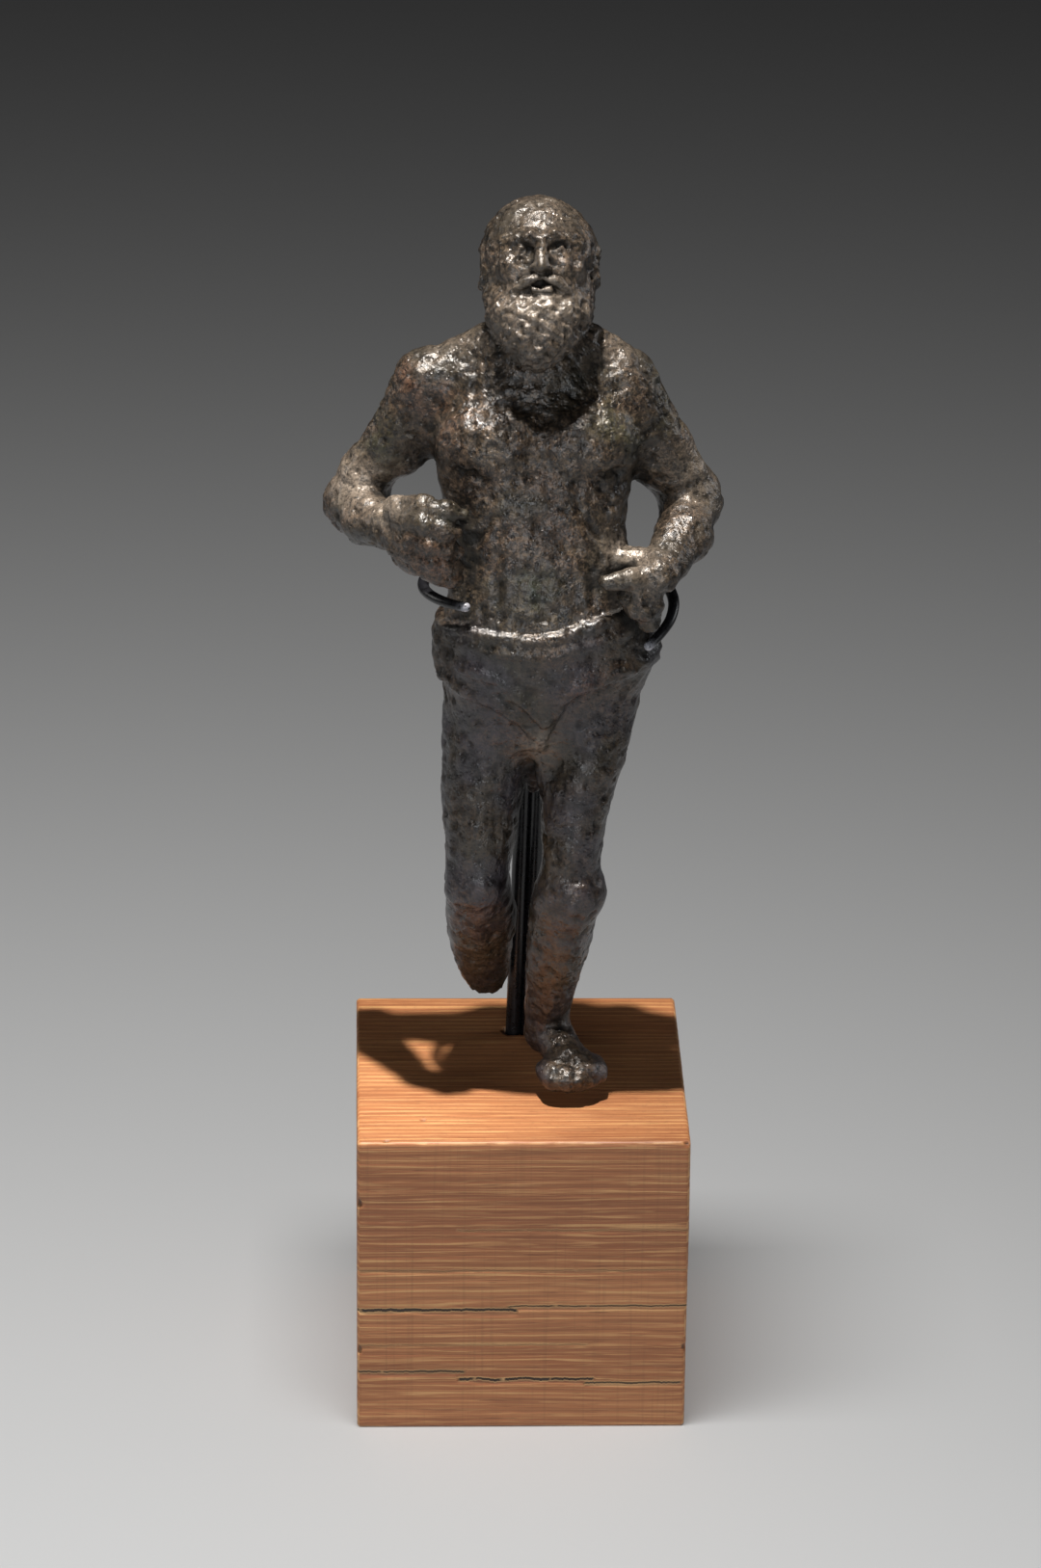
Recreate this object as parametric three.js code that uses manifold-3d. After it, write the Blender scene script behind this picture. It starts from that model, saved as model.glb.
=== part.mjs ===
// Bronze boxer figurine held by a black wire cradle on a hardwood block.
// Millimetres, +Z up, origin at the centre of the block's underside; the figure faces -Y.
import * as THREE from 'three';
import { mergeVertices } from 'three/addons/utils/BufferGeometryUtils.js';
import { RoundedBoxGeometry } from 'three/addons/geometries/RoundedBoxGeometry.js';
import Module from 'manifold-3d';

// Driving dimensions.
const BLOCK_WIDTH = 50.8;
const BLOCK_DEPTH = 50.8;
const BLOCK_HEIGHT = 49.5;
const BLOCK_EDGE = 0.5;            // small worn bevel on every edge
const ROD_RADIUS = 1.25;           // each of the two rods of the post
const ROD_SPACING = 2.3;           // centre to centre, so the two are fused into one post
const ROD_TIP_RADIUS = 0.72;
const SOCKET_DEPTH = 12;
const FIT_GAP = 0.3;               // clear gap between neighbouring pieces
const CLOTH = 0.4;                 // thickness of the loincloth over the skin
const FIGURE_CELL = 0.95;          // sculpting grid
const FIGURE_TRIANGLES = 7400;
const MID_X = 1.6;                 // the figure stands a little right of the block's middle

// Small vector helpers.
const clamp = (v, a, b) => Math.min(b, Math.max(a, v));
const mix = (a, b, t) => a + (b - a) * t;
const radians = (deg) => deg * Math.PI / 180;

// Shapes as signed distance fields.
// Every shape is a function (x, y, z) -> distance, negative inside.

function ellipsoid([cx, cy, cz], [rx, ry, rz]) {
  return (x, y, z) => {
    const px = x - cx, py = y - cy, pz = z - cz;
    const k0 = Math.hypot(px / rx, py / ry, pz / rz);
    const k1 = Math.hypot(px / (rx * rx), py / (ry * ry), pz / (rz * rz));
    return k1 < 1e-9 ? -Math.min(rx, ry, rz) : k0 * (k0 - 1) / k1;
  };
}

// A round cone from point a with radius ra to point b with radius rb.
function cone(a, b, ra, rb) {
  const bx = b[0] - a[0], by = b[1] - a[1], bz = b[2] - a[2];
  const l2 = bx * bx + by * by + bz * bz;
  const rr = ra - rb;
  const a2 = l2 - rr * rr;
  const il2 = 1 / l2;
  return (x, y, z) => {
    const px = x - a[0], py = y - a[1], pz = z - a[2];
    const dot = px * bx + py * by + pz * bz;
    const zz = dot - l2;
    const qx = px * l2 - bx * dot, qy = py * l2 - by * dot, qz = pz * l2 - bz * dot;
    const x2 = qx * qx + qy * qy + qz * qz;
    const y2 = dot * dot * l2;
    const z2 = zz * zz * l2;
    const k = Math.sign(rr) * rr * rr * x2;
    if (Math.sign(zz) * a2 * z2 > k) return Math.sqrt(x2 + z2) * il2 - rb;
    if (Math.sign(dot) * a2 * y2 < k) return Math.sqrt(x2 + y2) * il2 - ra;
    return (Math.sqrt(x2 * a2 * il2) + dot * rr) * il2 - ra;
  };
}

// A limb through joints [x, y, z, radius], its joints blended smoothly.
function limb(joints, softness = 1.2) {
  const parts = [];
  for (let i = 0; i + 1 < joints.length; i++) {
    const a = joints[i], b = joints[i + 1];
    parts.push(cone(a, b, a[3], b[3]));
  }
  return blend(softness, ...parts);
}

// An upright column of oval sections, rows [z, centre x, centre y, half width, half depth].
// square above 2 makes the sections boxier.
function column(rows, square = 2) {
  const last = rows.length - 1;
  const at = (i, c) => rows[clamp(i, 0, last)][c];
  return (x, y, z) => {
    const zz = clamp(z, rows[0][0], rows[last][0]);
    let i = 0;
    while (i < last - 1 && zz > rows[i + 1][0]) i++;
    const t = (zz - rows[i][0]) / (rows[i + 1][0] - rows[i][0]);
    const v = [0, 0, 0, 0, 0];
    for (let c = 1; c < 5; c++) {
      const p1 = at(i, c), p2 = at(i + 1, c);
      const h = at(i + 1, 0) - at(i, 0);
      const m1 = i > 0 ? (p2 - at(i - 1, c)) / (at(i + 1, 0) - at(i - 1, 0)) * h : p2 - p1;
      const m2 = i + 2 <= last ? (at(i + 2, c) - p1) / (at(i + 2, 0) - at(i, 0)) * h : p2 - p1;
      const t2 = t * t, t3 = t2 * t;
      v[c] = (2 * t3 - 3 * t2 + 1) * p1 + (t3 - 2 * t2 + t) * m1
        + (3 * t2 - 2 * t3) * p2 + (t3 - t2) * m2;
    }
    const ux = Math.abs(x - v[1]) / v[3], uy = Math.abs(y - v[2]) / v[4];
    const q = Math.pow(Math.pow(ux, square) + Math.pow(uy, square), 1 / square);
    const qm = Math.max(q, 1e-3);
    const gx = Math.pow(ux / qm, square - 1) / v[3], gy = Math.pow(uy / qm, square - 1) / v[4];
    const d = q < 1e-3 ? -Math.min(v[3], v[4]) : (q - 1) / Math.hypot(gx, gy);
    const out = Math.abs(z - zz);
    return out > 0 ? Math.hypot(Math.max(d, 0), out) + Math.min(d, 0) * 0.001 : d;
  };
}

const smin = (a, b, k) => {
  const h = Math.max(k - Math.abs(a - b), 0) / k;
  return Math.min(a, b) - h * h * k * 0.25;
};

function blend(k, ...shapes) {
  return (x, y, z) => {
    let d = shapes[0](x, y, z);
    for (let i = 1; i < shapes.length; i++) d = smin(d, shapes[i](x, y, z), k);
    return d;
  };
}

function carve(k, base, ...tools) {
  return (x, y, z) => {
    let d = base(x, y, z);
    for (const tool of tools) d = -smin(-d, tool(x, y, z), k);
    return d;
  };
}

// A shape built around its own origin, then turned about X, Y, Z (degrees) and moved.
function placed(shape, [cx, cy, cz], [rx, ry, rz]) {
  const e = new THREE.Matrix4()
    .makeRotationFromEuler(new THREE.Euler(radians(rx), radians(ry), radians(rz), 'ZYX')).elements;
  return (x, y, z) => {
    const px = x - cx, py = y - cy, pz = z - cz;
    return shape(e[0] * px + e[1] * py + e[2] * pz, e[4] * px + e[5] * py + e[6] * pz,
      e[8] * px + e[9] * py + e[10] * pz);
  };
}

// The figure, z counted from the top of the block.
const TRUNK_ROWS = [
  [53.0, 2.2, 0.0, 5.0, 4.5],
  [58.0, 2.4, -0.3, 11.5, 8.0],
  [65.0, 2.9, -0.8, 14.8, 9.8],
  [70.5, 3.3, -1.3, 16.0, 10.2],
  [77.0, 2.8, -1.8, 15.2, 9.6],
  [82.0, 2.5, -1.6, 14.0, 9.0],
  [87.0, 2.2, -0.8, 13.2, 8.8],
  [93.0, 1.4, 0.8, 13.6, 9.2],
  [100.0, 1.3, 2.8, 15.0, 9.6],
  [107.0, 1.4, 4.6, 15.2, 9.0],
  [112.5, 1.5, 5.8, 12.5, 7.4],
  [118.0, 1.6, 6.2, 8.0, 6.0],
];

function trunk() {
  const core = column(TRUNK_ROWS, 2.3);
  const chest = [];
  for (const side of [-1, 1]) {
    chest.push(ellipsoid([MID_X + side * 7.0, -1.6, 104.2], [7.4, 4.6, 5.2]));
    chest.push(cone([MID_X + side * 5, 6.8, 116.4], [MID_X + side * 12.6, 6.6, 112.0], 4.1, 4.2));
    chest.push(ellipsoid([MID_X + side * 8, 9.4, 104], [7.5, 4.6, 8.5]));
    chest.push(ellipsoid([MID_X + 1 + side * 6.8, 5.0, 63.5], [7.2, 6.4, 7.4]));
  }
  return blend(3, core, ...chest);
}

// Shallow lines of the belly wall: the middle line, the rib arch and the two cross lines.
function bellyLines() {
  const lines = [cone([MID_X, -7.6, 106], [2.4, -11.4, 88], 0.55, 0.45)];
  for (const side of [-1, 1]) {
    lines.push(cone([MID_X + side * 1.2, -8.4, 99.2], [MID_X + side * 9.5, -7.2, 91.5], 0.7, 0.6));
    lines.push(cone([MID_X + side * 1.0, -8.2, 100.6], [MID_X + side * 9.5, -7.4, 98.8], 0.7, 0.5));
    lines.push(cone([2.0 + side * 1.0, -9.8, 92.6], [2.2 + side * 5.6, -9.0, 92.4], 0.45, 0.35));
  }
  lines.push(ellipsoid([2.5, -11.3, 85.8], [0.9, 1.4, 0.9]));
  return lines;
}

const LEG_LEFT_ROWS = [
  [5.0, 4.1, 1.3, 3.3, 3.7],
  [9.5, 4.15, 0.4, 3.6, 4.2],
  [13.8, 4.55, -1.0, 3.85, 4.6],
  [20.0, 5.1, -2.8, 4.4, 5.2],
  [27.0, 5.95, -4.6, 5.1, 5.6],
  [33.5, 6.8, -6.6, 5.3, 5.2],
  [37.5, 7.1, -6.8, 4.5, 5.0],
  [43.5, 7.4, -5.8, 4.9, 5.4],
  [49.5, 8.3, -4.6, 5.5, 6.2],
  [55.0, 9.4, -3.2, 6.2, 7.0],
  [61.0, 9.9, -1.6, 6.8, 7.6],
  [67.0, 9.8, -0.6, 5.8, 7.0],
];

const LEG_RIGHT_ROWS = [
  [9.6, -5.2, 9.6, 2.6, 2.8],
  [12.8, -5.5, 8.4, 3.9, 3.9],
  [17.5, -5.9, 6.2, 4.6, 4.8],
  [24.0, -6.3, 2.8, 5.3, 5.4],
  [29.5, -6.5, -1.2, 5.2, 5.6],
  [34.5, -6.7, -3.2, 4.8, 5.3],
  [42.0, -6.5, -2.8, 5.5, 5.8],
  [48.5, -6.2, -1.6, 6.3, 6.6],
  [54.5, -5.5, -0.6, 6.9, 7.2],
  [60.5, -5.4, 0.0, 6.9, 7.6],
  [67.0, -5.0, 0.2, 5.8, 7.0],
];

function legs() {
  const calf = ellipsoid([6.2, -1.4, 25.5], [4.6, 4.4, 7.5]);
  const kneeLeft = [ellipsoid([8.0, -9.9, 33.4], [3.0, 1.9, 3.0]),
    ellipsoid([3.9, -8.4, 33.0], [1.5, 1.8, 2.4]), ellipsoid([10.5, -7.6, 33.6], [1.4, 1.8, 2.4])];
  const left = blend(2.4, blend(1.6, column(LEG_LEFT_ROWS), calf), ...kneeLeft);
  const calfRight = [ellipsoid([-6.1, 6.4, 22.5], [4.6, 4.0, 6.5]),
    ellipsoid([-4.2, 2.8, 25.5], [3.2, 4.4, 5.0])];
  const kneeRight = [ellipsoid([-7.0, -6.8, 33.6], [2.9, 1.9, 2.9]),
    ellipsoid([-10.0, -4.6, 33.2], [1.3, 1.8, 2.2])];
  const right = blend(2.4, blend(1.6, column(LEG_RIGHT_ROWS), ...calfRight), ...kneeRight);
  return blend(0.8, left, right);
}

function foot() {
  const heel = ellipsoid([4.0, 3.0, 4.8], [3.3, 3.4, 3.4]);
  const instep = cone([4.9, -0.8, 6.4], [7.5, -7.5, 4.8], 3.4, 2.8);
  const ball = placed(ellipsoid([0, 0, 0], [4.8, 4.6, 2.7]), [7.6, -9.0, 4.1], [0, 0, 20]);
  const toes = [];
  for (let i = 0; i < 5; i++) {
    const r = i === 0 ? 1.75 : 1.35 - 0.05 * i;
    const x = 4.9 + i * 1.75 + (i > 0 ? 0.35 : 0);
    const y = -12.4 + Math.pow(Math.abs(i - 1.2), 1.5) * 0.5;
    toes.push(cone([x - 0.7, y + 3, 4.2], [x, y, 2.1 + r + 0.12 * i], r, r * 0.95));
  }
  const whole = blend(1.6, heel, instep, ball, blend(0.3, ...toes));
  return (x, y, z) => Math.max(whole(x, y, z), 2.0 - z);
}

function rightArm() {
  const upper = blend(2, limb([[-15.0, 6.8, 110.8, 5.2], [-19.2, 8.0, 101.8, 4.2],
    [-23.9, 9.2, 95.2, 4.1], [-25.6, 10.0, 90.6, 4.4]]),
    limb([[-15.5, 7.4, 105.0, 4.6], [-18.4, 7.8, 99.4, 3.5]]));
  const fore = limb([[-25.5, 10.0, 90.3, 4.7], [-22.8, 2.6, 90.6, 4.2], [-18.6, -6.0, 92.0, 3.2]]);
  return [upper, fore];
}

function rightHand() {
  const palm = placed(ellipsoid([0, 0, 0], [5.2, 2.9, 5.2]), [-15.8, -8.8, 91.2], [0, 14, -8]);
  const fingers = [];
  for (let i = 0; i < 4; i++) {
    const drop = i * 2.6;
    fingers.push(limb([[-18.6 + 0.9 * i, -9.2 - 0.3 * i, 95.2 - drop, 1.7],
      [-15.2 + 0.6 * i, -11.3, 95.0 - drop * 1.02, 1.75], [-12.2 + 0.3 * i, -11.4, 94.0 - drop, 1.5],
      [-10.8 + 0.1 * i, -10.5, 93.4 - drop, 1.25]], 0.8));
  }
  const thumb = limb([[-19.4, -6.4, 95.8, 2.1], [-15.4, -9.6, 97.2, 1.8],
    [-12.0, -10.4, 97.0, 1.5], [-9.8, -10.2, 96.4, 1.1]], 0.8);
  return blend(0.9, palm, blend(0.4, ...fingers), thumb);
}

function leftArm() {
  const upper = blend(2, limb([[15.2, 5.2, 109.6, 5.0], [20.2, 6.4, 101.2, 4.5],
    [25.0, 8.0, 91.8, 4.6]]), cone([17.6, 5.8, 103.5], [19.4, 6.4, 98.0], 4.4, 3.6));
  const fore = limb([[25.2, 8.0, 91.4, 4.6], [23.6, 0.4, 88.8, 4.2], [19.4, -8.6, 86.0, 3.1]]);
  const web = cone([18.4, -6.4, 87.4], [14.6, -5.2, 87.0], 2.0, 2.2);
  return [upper, blend(1, fore, web)];
}

function leftHand() {
  const palm = placed(ellipsoid([0, 0, 0], [3.0, 2.5, 3.6]), [17.3, -9.2, 83.4], [0, -20, 0]);
  const fingers = [];
  for (let i = 0; i < 3; i++) {
    fingers.push(limb([[14.6 + 1.9 * i, -10.2, 83.2 + 0.4 * i, 1.35],
      [16.0 + 1.55 * i, -10.5, 80.9 + 0.35 * i, 1.3], [17.9 + 0.55 * i, -9.9, 78.3 + 0.35 * i, 1.0]], 0.5));
  }
  const thumb = limb([[18.0, -9.6, 86.2, 1.9], [14.8, -10.9, 86.2, 1.6], [11.3, -11.4, 85.9, 1.2]], 0.8);
  return blend(0.8, palm, blend(0.2, ...fingers), thumb);
}

// The head is built upright around the middle of the skull and then tipped back.
const HEAD_AT = [1.6, 4.4, 131.4];
const HEAD_TURN = [-28, 0, 0];

function head() {
  const skull = ellipsoid([0, 0.6, 0], [8.8, 9.4, 9.0]);
  const jowl = ellipsoid([0, -1.2, -5.2], [8.0, 5.4, 6.0]);
  const jaw = ellipsoid([0, -3.6, -4.6], [6.4, 5.4, 7.2]);
  const beard = blend(2.2, ellipsoid([-0.2, -4.2, -8.8], [7.5, 5.6, 5.6]),
    ellipsoid([-0.8, -4.4, -12.6], [5.2, 4.6, 4.6]),
    ellipsoid([-6.9, -1.4, -6.4], [1.3, 2.4, 3.4]), ellipsoid([6.7, -1.4, -6.4], [1.3, 2.4, 3.4]));
  const brow = blend(0.8, cone([-5.2, -6.6, 1.0], [-1.6, -8.8, 1.6], 1.0, 1.1),
    cone([5.2, -6.6, 1.0], [1.6, -8.8, 1.6], 1.0, 1.1));
  const nose = cone([0, -9.0, 0.6], [0, -10.6, -3.0], 0.9, 1.35);
  const cheeks = blend(1, ellipsoid([-4.1, -6.4, -2.6], [2.4, 2.2, 2.0]),
    ellipsoid([4.1, -6.4, -2.6], [2.4, 2.2, 2.0]));
  const moustache = blend(0.5, cone([-0.8, -9.6, -4.9], [-3.6, -8.4, -6.6], 1.0, 0.8),
    cone([0.8, -9.6, -4.9], [3.6, -8.4, -6.6], 1.0, 0.8));
  const lip = cone([-1.3, -9.3, -6.9], [1.3, -9.3, -6.9], 0.7, 0.7);
  const face = carve(0.6, blend(1.4, skull, jowl, jaw, brow, cheeks),
    ellipsoid([-3.1, -9.3, -0.6], [1.8, 1.5, 1.2]), ellipsoid([3.1, -9.3, -0.6], [1.8, 1.5, 1.2]));
  const eyes = blend(0.1, ellipsoid([-3.1, -7.4, -0.7], [1.35, 1.1, 0.9]),
    ellipsoid([3.1, -7.4, -0.7], [1.35, 1.1, 0.9]));
  const ears = blend(0.2, placed(ellipsoid([0, 0, 0], [0.9, 2.0, 3.2]), [-8.4, -0.5, -2.0], [10, 0, 10]),
    placed(ellipsoid([0, 0, 0], [0.9, 2.0, 3.2]), [8.4, -0.5, -2.0], [10, 0, -10]));
  return blend(0.5, blend(1.0, blend(0.9, face, nose), beard), eyes, ears, moustache, lip);
}

// Heights along the loincloth's edges, as [x, z] from the figure's right to its left.
const BELT_EDGE = [[-12, 76.6], [-9, 77.2], [-4, 76.8], [1, 76.7], [4, 77.1], [7.5, 78.3],
  [12, 79.4], [16, 79.9]];
const HEM_EDGE = [[-13, 68.4], [-9, 66.8], [-6, 66.1], [-3.8, 65.1], [-1.6, 63.4], [0.6, 61.0],
  [2.3, 59.4], [3.4, 61.0], [4.6, 64.2], [6.2, 67.2], [8, 68.8], [11, 69.7], [15, 70.4]];
const UPPER_EDGE = [[-13, 71.6], [-9, 71.0], [-6.5, 70.7], [-4.4, 69.6], [-2.4, 68.1], [0, 65.8],
  [2.3, 62.6], [3.6, 62.8], [5, 66], [7, 69], [18, 71.6]];

function edgeHeight(points, x) {
  const last = points.length - 1;
  if (x <= points[0][0]) return points[0][1];
  if (x >= points[last][0]) return points[last][1];
  let i = 0;
  while (x > points[i + 1][0]) i++;
  const [x0, z0] = points[i];
  const [x1, z1] = points[i + 1];
  return mix(z0, z1, (x - x0) / (x1 - x0));
}

// Two layers of cloth hung from a rolled belt: a long one to the hem and a short one over it.
function loincloth(skin, waist) {
  const slope = 0.75;
  return (x, y, z) => {
    if (z > 88 || z < 50) return 5;
    const hem = edgeHeight(HEM_EDGE, x);
    const upper = edgeHeight(UPPER_EDGE, x);
    const belt = edgeHeight(BELT_EDGE, x);
    const s = skin(x, y, z);
    const w = waist(x, y, z);
    const under = Math.max(s - CLOTH, (hem - z) * slope, z - belt);
    const over = Math.max(s - CLOTH - 0.45, (upper - z) * slope, z - belt);
    const hemRoll = Math.hypot(s - 0.05, (z - hem) * slope) - 0.65;
    const upperRoll = Math.hypot(s - 0.45, (z - upper) * slope) - 0.6;
    const low = belt - 2.0 - 0.8 * Math.exp(-Math.pow((x - 5) / 6, 2));
    const ridge = Math.hypot(w - 0.25, z - belt) - 0.75;
    const roll = Math.hypot(w + 0.15, z - low) - 1.45;
    const cloth = smin(smin(under, hemRoll, 0.8), smin(over, upperRoll, 0.9), 0.5);
    return smin(cloth, smin(ridge, roll, 0.25), 0.9);
  };
}

// The oval loop of cloth hanging at the right hip.
function hipLoop() {
  const ring = (x, y, z) => {
    const q = Math.hypot(y / 1.5, z / 3.4);
    const g = Math.hypot(y / (1.5 * 1.5), z / (3.4 * 3.4));
    const d = g < 1e-6 ? -1.5 : q * (q - 1) / g;
    return Math.hypot(d, x) - 0.8;
  };
  return placed(ring, [-11.9, -5.0, 71.6], [6, 0, 40]);
}

// The knot below the apron, the folds hanging from it and the web between the thighs.
function frontEnds() {
  const knot = ellipsoid([2.2, -8.4, 59.2], [1.3, 1.4, 1.9]);
  const web = limb([[1.8, -2.5, 60.0, 3.0], [1.8, -1.0, 52.0, 2.2], [1.7, 1.5, 47.4, 1.0]], 1.0);
  const ends = [];
  for (let i = 0; i < 3; i++) {
    ends.push(limb([[1.5 + i * 1.05, -7.2, 58.5, 0.85], [2.0 + i * 0.95, -6.0 - i * 0.5, 53.5, 0.8],
      [2.9 + i * 0.8, -5.2 - i * 0.7, 48.5 - i * 2.0, 0.6]], 0.5));
  }
  return blend(0.5, blend(1.4, web, knot), ...ends);
}

function figureField() {
  const body = trunk();
  const limbs = legs();
  const [upperR, foreR] = rightArm();
  const [upperL, foreL] = leftArm();
  const neck = cone([1.7, 7.0, 113.5], [1.6, 4.6, 124.5], 6.6, 6.2);
  const traps = blend(1, cone([MID_X - 5.2, 6.2, 118.0], [MID_X - 11.0, 6.6, 114.6], 2.6, 3.0),
    cone([MID_X + 5.2, 6.2, 118.0], [MID_X + 11.0, 6.6, 114.6], 2.6, 3.0));
  const torso = carve(0.9, body, ...bellyLines());
  const skinLow = blend(2.4, body, limbs);
  const parts = [
    [3.0, upperR], [3.0, upperL], [2.4, neck], [2.4, traps], [1.4, foreR], [1.4, foreL],
    [0.7, rightHand()], [0.7, leftHand()],
    [0.8, placed(head(), HEAD_AT, HEAD_TURN)],
    [1.2, foot()],
    [0.4, loincloth(skinLow, body)], [0.5, hipLoop()], [0.9, frontEnds()],
  ];
  const chip = ellipsoid([-21.2, 2.6, 115.6], [3.4, 3.4, 2.2]);
  const main = blend(2.4, torso, limbs);
  return (x, y, z) => {
    let d = main(x, y, z);
    for (const [k, shape] of parts) d = smin(d, shape(x, y, z), k);
    return -smin(-d, chip(x, y, z), 0.9);
  };
}

// From a field to a closed mesh.
function sampleField(field, low, count, step) {
  const [nx, ny, nz] = count;
  const values = new Float64Array(nx * ny * nz);
  const span = 4;
  const reach = span * step * Math.sqrt(3) * 0.5 * 1.6;
  for (let k = 0; k < nz; k += span) {
    for (let j = 0; j < ny; j += span) {
      for (let i = 0; i < nx; i += span) {
        const half = (span - 1) / 2;
        const mid = field(low[0] + (i + half) * step, low[1] + (j + half) * step,
          low[2] + (k + half) * step);
        const far = Math.abs(mid) > reach;
        for (let c = k; c < Math.min(k + span, nz); c++) {
          for (let b = j; b < Math.min(j + span, ny); b++) {
            for (let a = i; a < Math.min(i + span, nx); a++) {
              values[(c * ny + b) * nx + a] = far ? mid
                : field(low[0] + a * step, low[1] + b * step, low[2] + c * step);
            }
          }
        }
      }
    }
  }
  return values;
}

// A cell's twelve edges are numbered axis * 4 + du + 2 * dv, with u and v the next two axes.
// Edges crossed by the same sheet of surface are linked across the cell's faces, so that two
// sheets in one cell get a vertex each and the mesh stays two-sided everywhere.
const FACES = [0, 1, 2].flatMap((n) => [0, 1].map((s) => {
  const u = (n + 1) % 3, v = (n + 2) % 3;
  return { n, s, u, v, edges: [u * 4 + 2 * s, u * 4 + 1 + 2 * s, v * 4 + s, v * 4 + s + 2] };
}));

function sheetsOfCell(crossed, inside) {
  const link = [0, 1, 2, 3, 4, 5, 6, 7, 8, 9, 10, 11];
  const find = (e) => (link[e] === e ? e : find(link[e]));
  const join = (a, b) => { link[find(a)] = find(b); };
  for (const face of FACES) {
    const hit = face.edges.filter((e) => crossed[e]);
    if (hit.length === 2) join(hit[0], hit[1]);
    if (hit.length !== 4) continue;
    const corner = [0, 0, 0];
    corner[face.n] = face.s;
    const [e0, e1, e2, e3] = face.edges;
    if (inside(corner)) {
      join(e0, e2);
      join(e1, e3);
    } else {
      join(e0, e3);
      join(e1, e2);
    }
  }
  return find;
}

// Surface nets: a vertex for every sheet in every cell the surface passes through.
function surfaceNet(field, low, high, step) {
  const count = [0, 1, 2].map((a) => Math.ceil((high[a] - low[a]) / step) + 1);
  const [nx, ny, nz] = count;
  const value = sampleField(field, low, count, step);
  const stride = [1, nx, nx * ny];
  const slot = new Int32Array(nx * ny * nz).fill(-1);
  const edgeVertex = [];
  const vertices = [];
  const triangles = [];
  for (let k = 0; k + 1 < nz; k++) {
    for (let j = 0; j + 1 < ny; j++) {
      for (let i = 0; i + 1 < nx; i++) {
        const base = (k * ny + j) * nx + i;
        const first = value[base] < 0;
        let mixed = false;
        for (let c = 1; c < 8 && !mixed; c++) {
          const at = base + (c & 1) * stride[0] + ((c >> 1) & 1) * stride[1] + (c >> 2) * stride[2];
          mixed = (value[at] < 0) !== first;
        }
        if (!mixed) continue;
        slot[base] = edgeVertex.length;
        edgeVertex.push(verticesOfCell(value, stride, base, [i, j, k], low, step, vertices));
      }
    }
  }
  for (let k = 1; k + 1 < nz; k++) {
    for (let j = 1; j + 1 < ny; j++) {
      for (let i = 1; i + 1 < nx; i++) {
        const base = (k * ny + j) * nx + i;
        for (let axis = 0; axis < 3; axis++) {
          const a = value[base], b = value[base + stride[axis]];
          if ((a < 0) === (b < 0)) continue;
          const u = stride[(axis + 1) % 3], v = stride[(axis + 2) % 3];
          const q = [edgeVertex[slot[base]][axis * 4], edgeVertex[slot[base - u]][axis * 4 + 1],
            edgeVertex[slot[base - u - v]][axis * 4 + 3], edgeVertex[slot[base - v]][axis * 4 + 2]];
          if (b < 0) q.reverse();
          addQuad(vertices, triangles, q);
        }
      }
    }
  }
  return { vertices, triangles };
}

function verticesOfCell(value, stride, base, cell, low, step, vertices) {
  const crossed = new Array(12).fill(false);
  const point = new Array(12);
  for (let axis = 0; axis < 3; axis++) {
    const u = (axis + 1) % 3, v = (axis + 2) % 3;
    for (let m = 0; m < 4; m++) {
      const start = base + (m & 1) * stride[u] + (m >> 1) * stride[v];
      const a = value[start], b = value[start + stride[axis]];
      if ((a < 0) === (b < 0)) continue;
      const p = [0, 0, 0];
      p[axis] = clamp(a / (a - b), 0.02, 0.98);
      p[u] = m & 1;
      p[v] = m >> 1;
      crossed[axis * 4 + m] = true;
      point[axis * 4 + m] = p;
    }
  }
  const inside = (c) => value[base + c[0] * stride[0] + c[1] * stride[1] + c[2] * stride[2]] < 0;
  const find = sheetsOfCell(crossed, inside);
  const group = new Map();
  for (let e = 0; e < 12; e++) {
    if (!crossed[e]) continue;
    const root = find(e);
    if (!group.has(root)) group.set(root, []);
    group.get(root).push(e);
  }
  const out = new Array(12).fill(-1);
  for (const edges of group.values()) {
    const mean = [0, 1, 2].map((c) => edges.reduce((sum, e) => sum + point[e][c], 0) / edges.length);
    for (const e of edges) out[e] = vertices.length;
    vertices.push(mean.map((m, c) => low[c] + (cell[c] + m) * step));
  }
  return out;
}

function addQuad(vertices, triangles, q) {
  const dist = (a, b) => Math.hypot(...[0, 1, 2].map((c) => vertices[a][c] - vertices[b][c]));
  if (dist(q[0], q[2]) <= dist(q[1], q[3])) {
    triangles.push([q[0], q[1], q[2]], [q[0], q[2], q[3]]);
  } else {
    triangles.push([q[1], q[2], q[3]], [q[1], q[3], q[0]]);
  }
}

// True when every edge has exactly two triangles.
function closedTwoSided(mesh) {
  const seen = new Map();
  for (const t of mesh.triangles) {
    for (let e = 0; e < 3; e++) {
      const a = t[e], b = t[(e + 1) % 3];
      const key = Math.min(a, b) * 1e7 + Math.max(a, b);
      seen.set(key, (seen.get(key) || 0) + 1);
    }
  }
  for (const n of seen.values()) if (n !== 2) return false;
  return true;
}

// Thinning the mesh by edge collapses.
class Heap {
  constructor() { this.a = []; }
  push(item) {
    const a = this.a;
    a.push(item);
    let i = a.length - 1;
    while (i > 0) {
      const p = (i - 1) >> 1;
      if (a[p].cost <= a[i].cost) break;
      [a[p], a[i]] = [a[i], a[p]];
      i = p;
    }
  }
  pop() {
    const a = this.a;
    const top = a[0];
    const last = a.pop();
    if (a.length) {
      a[0] = last;
      let i = 0;
      for (;;) {
        let s = i;
        for (const c of [2 * i + 1, 2 * i + 2]) if (c < a.length && a[c].cost < a[s].cost) s = c;
        if (s === i) break;
        [a[s], a[i]] = [a[i], a[s]];
        i = s;
      }
    }
    return top;
  }
}

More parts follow.
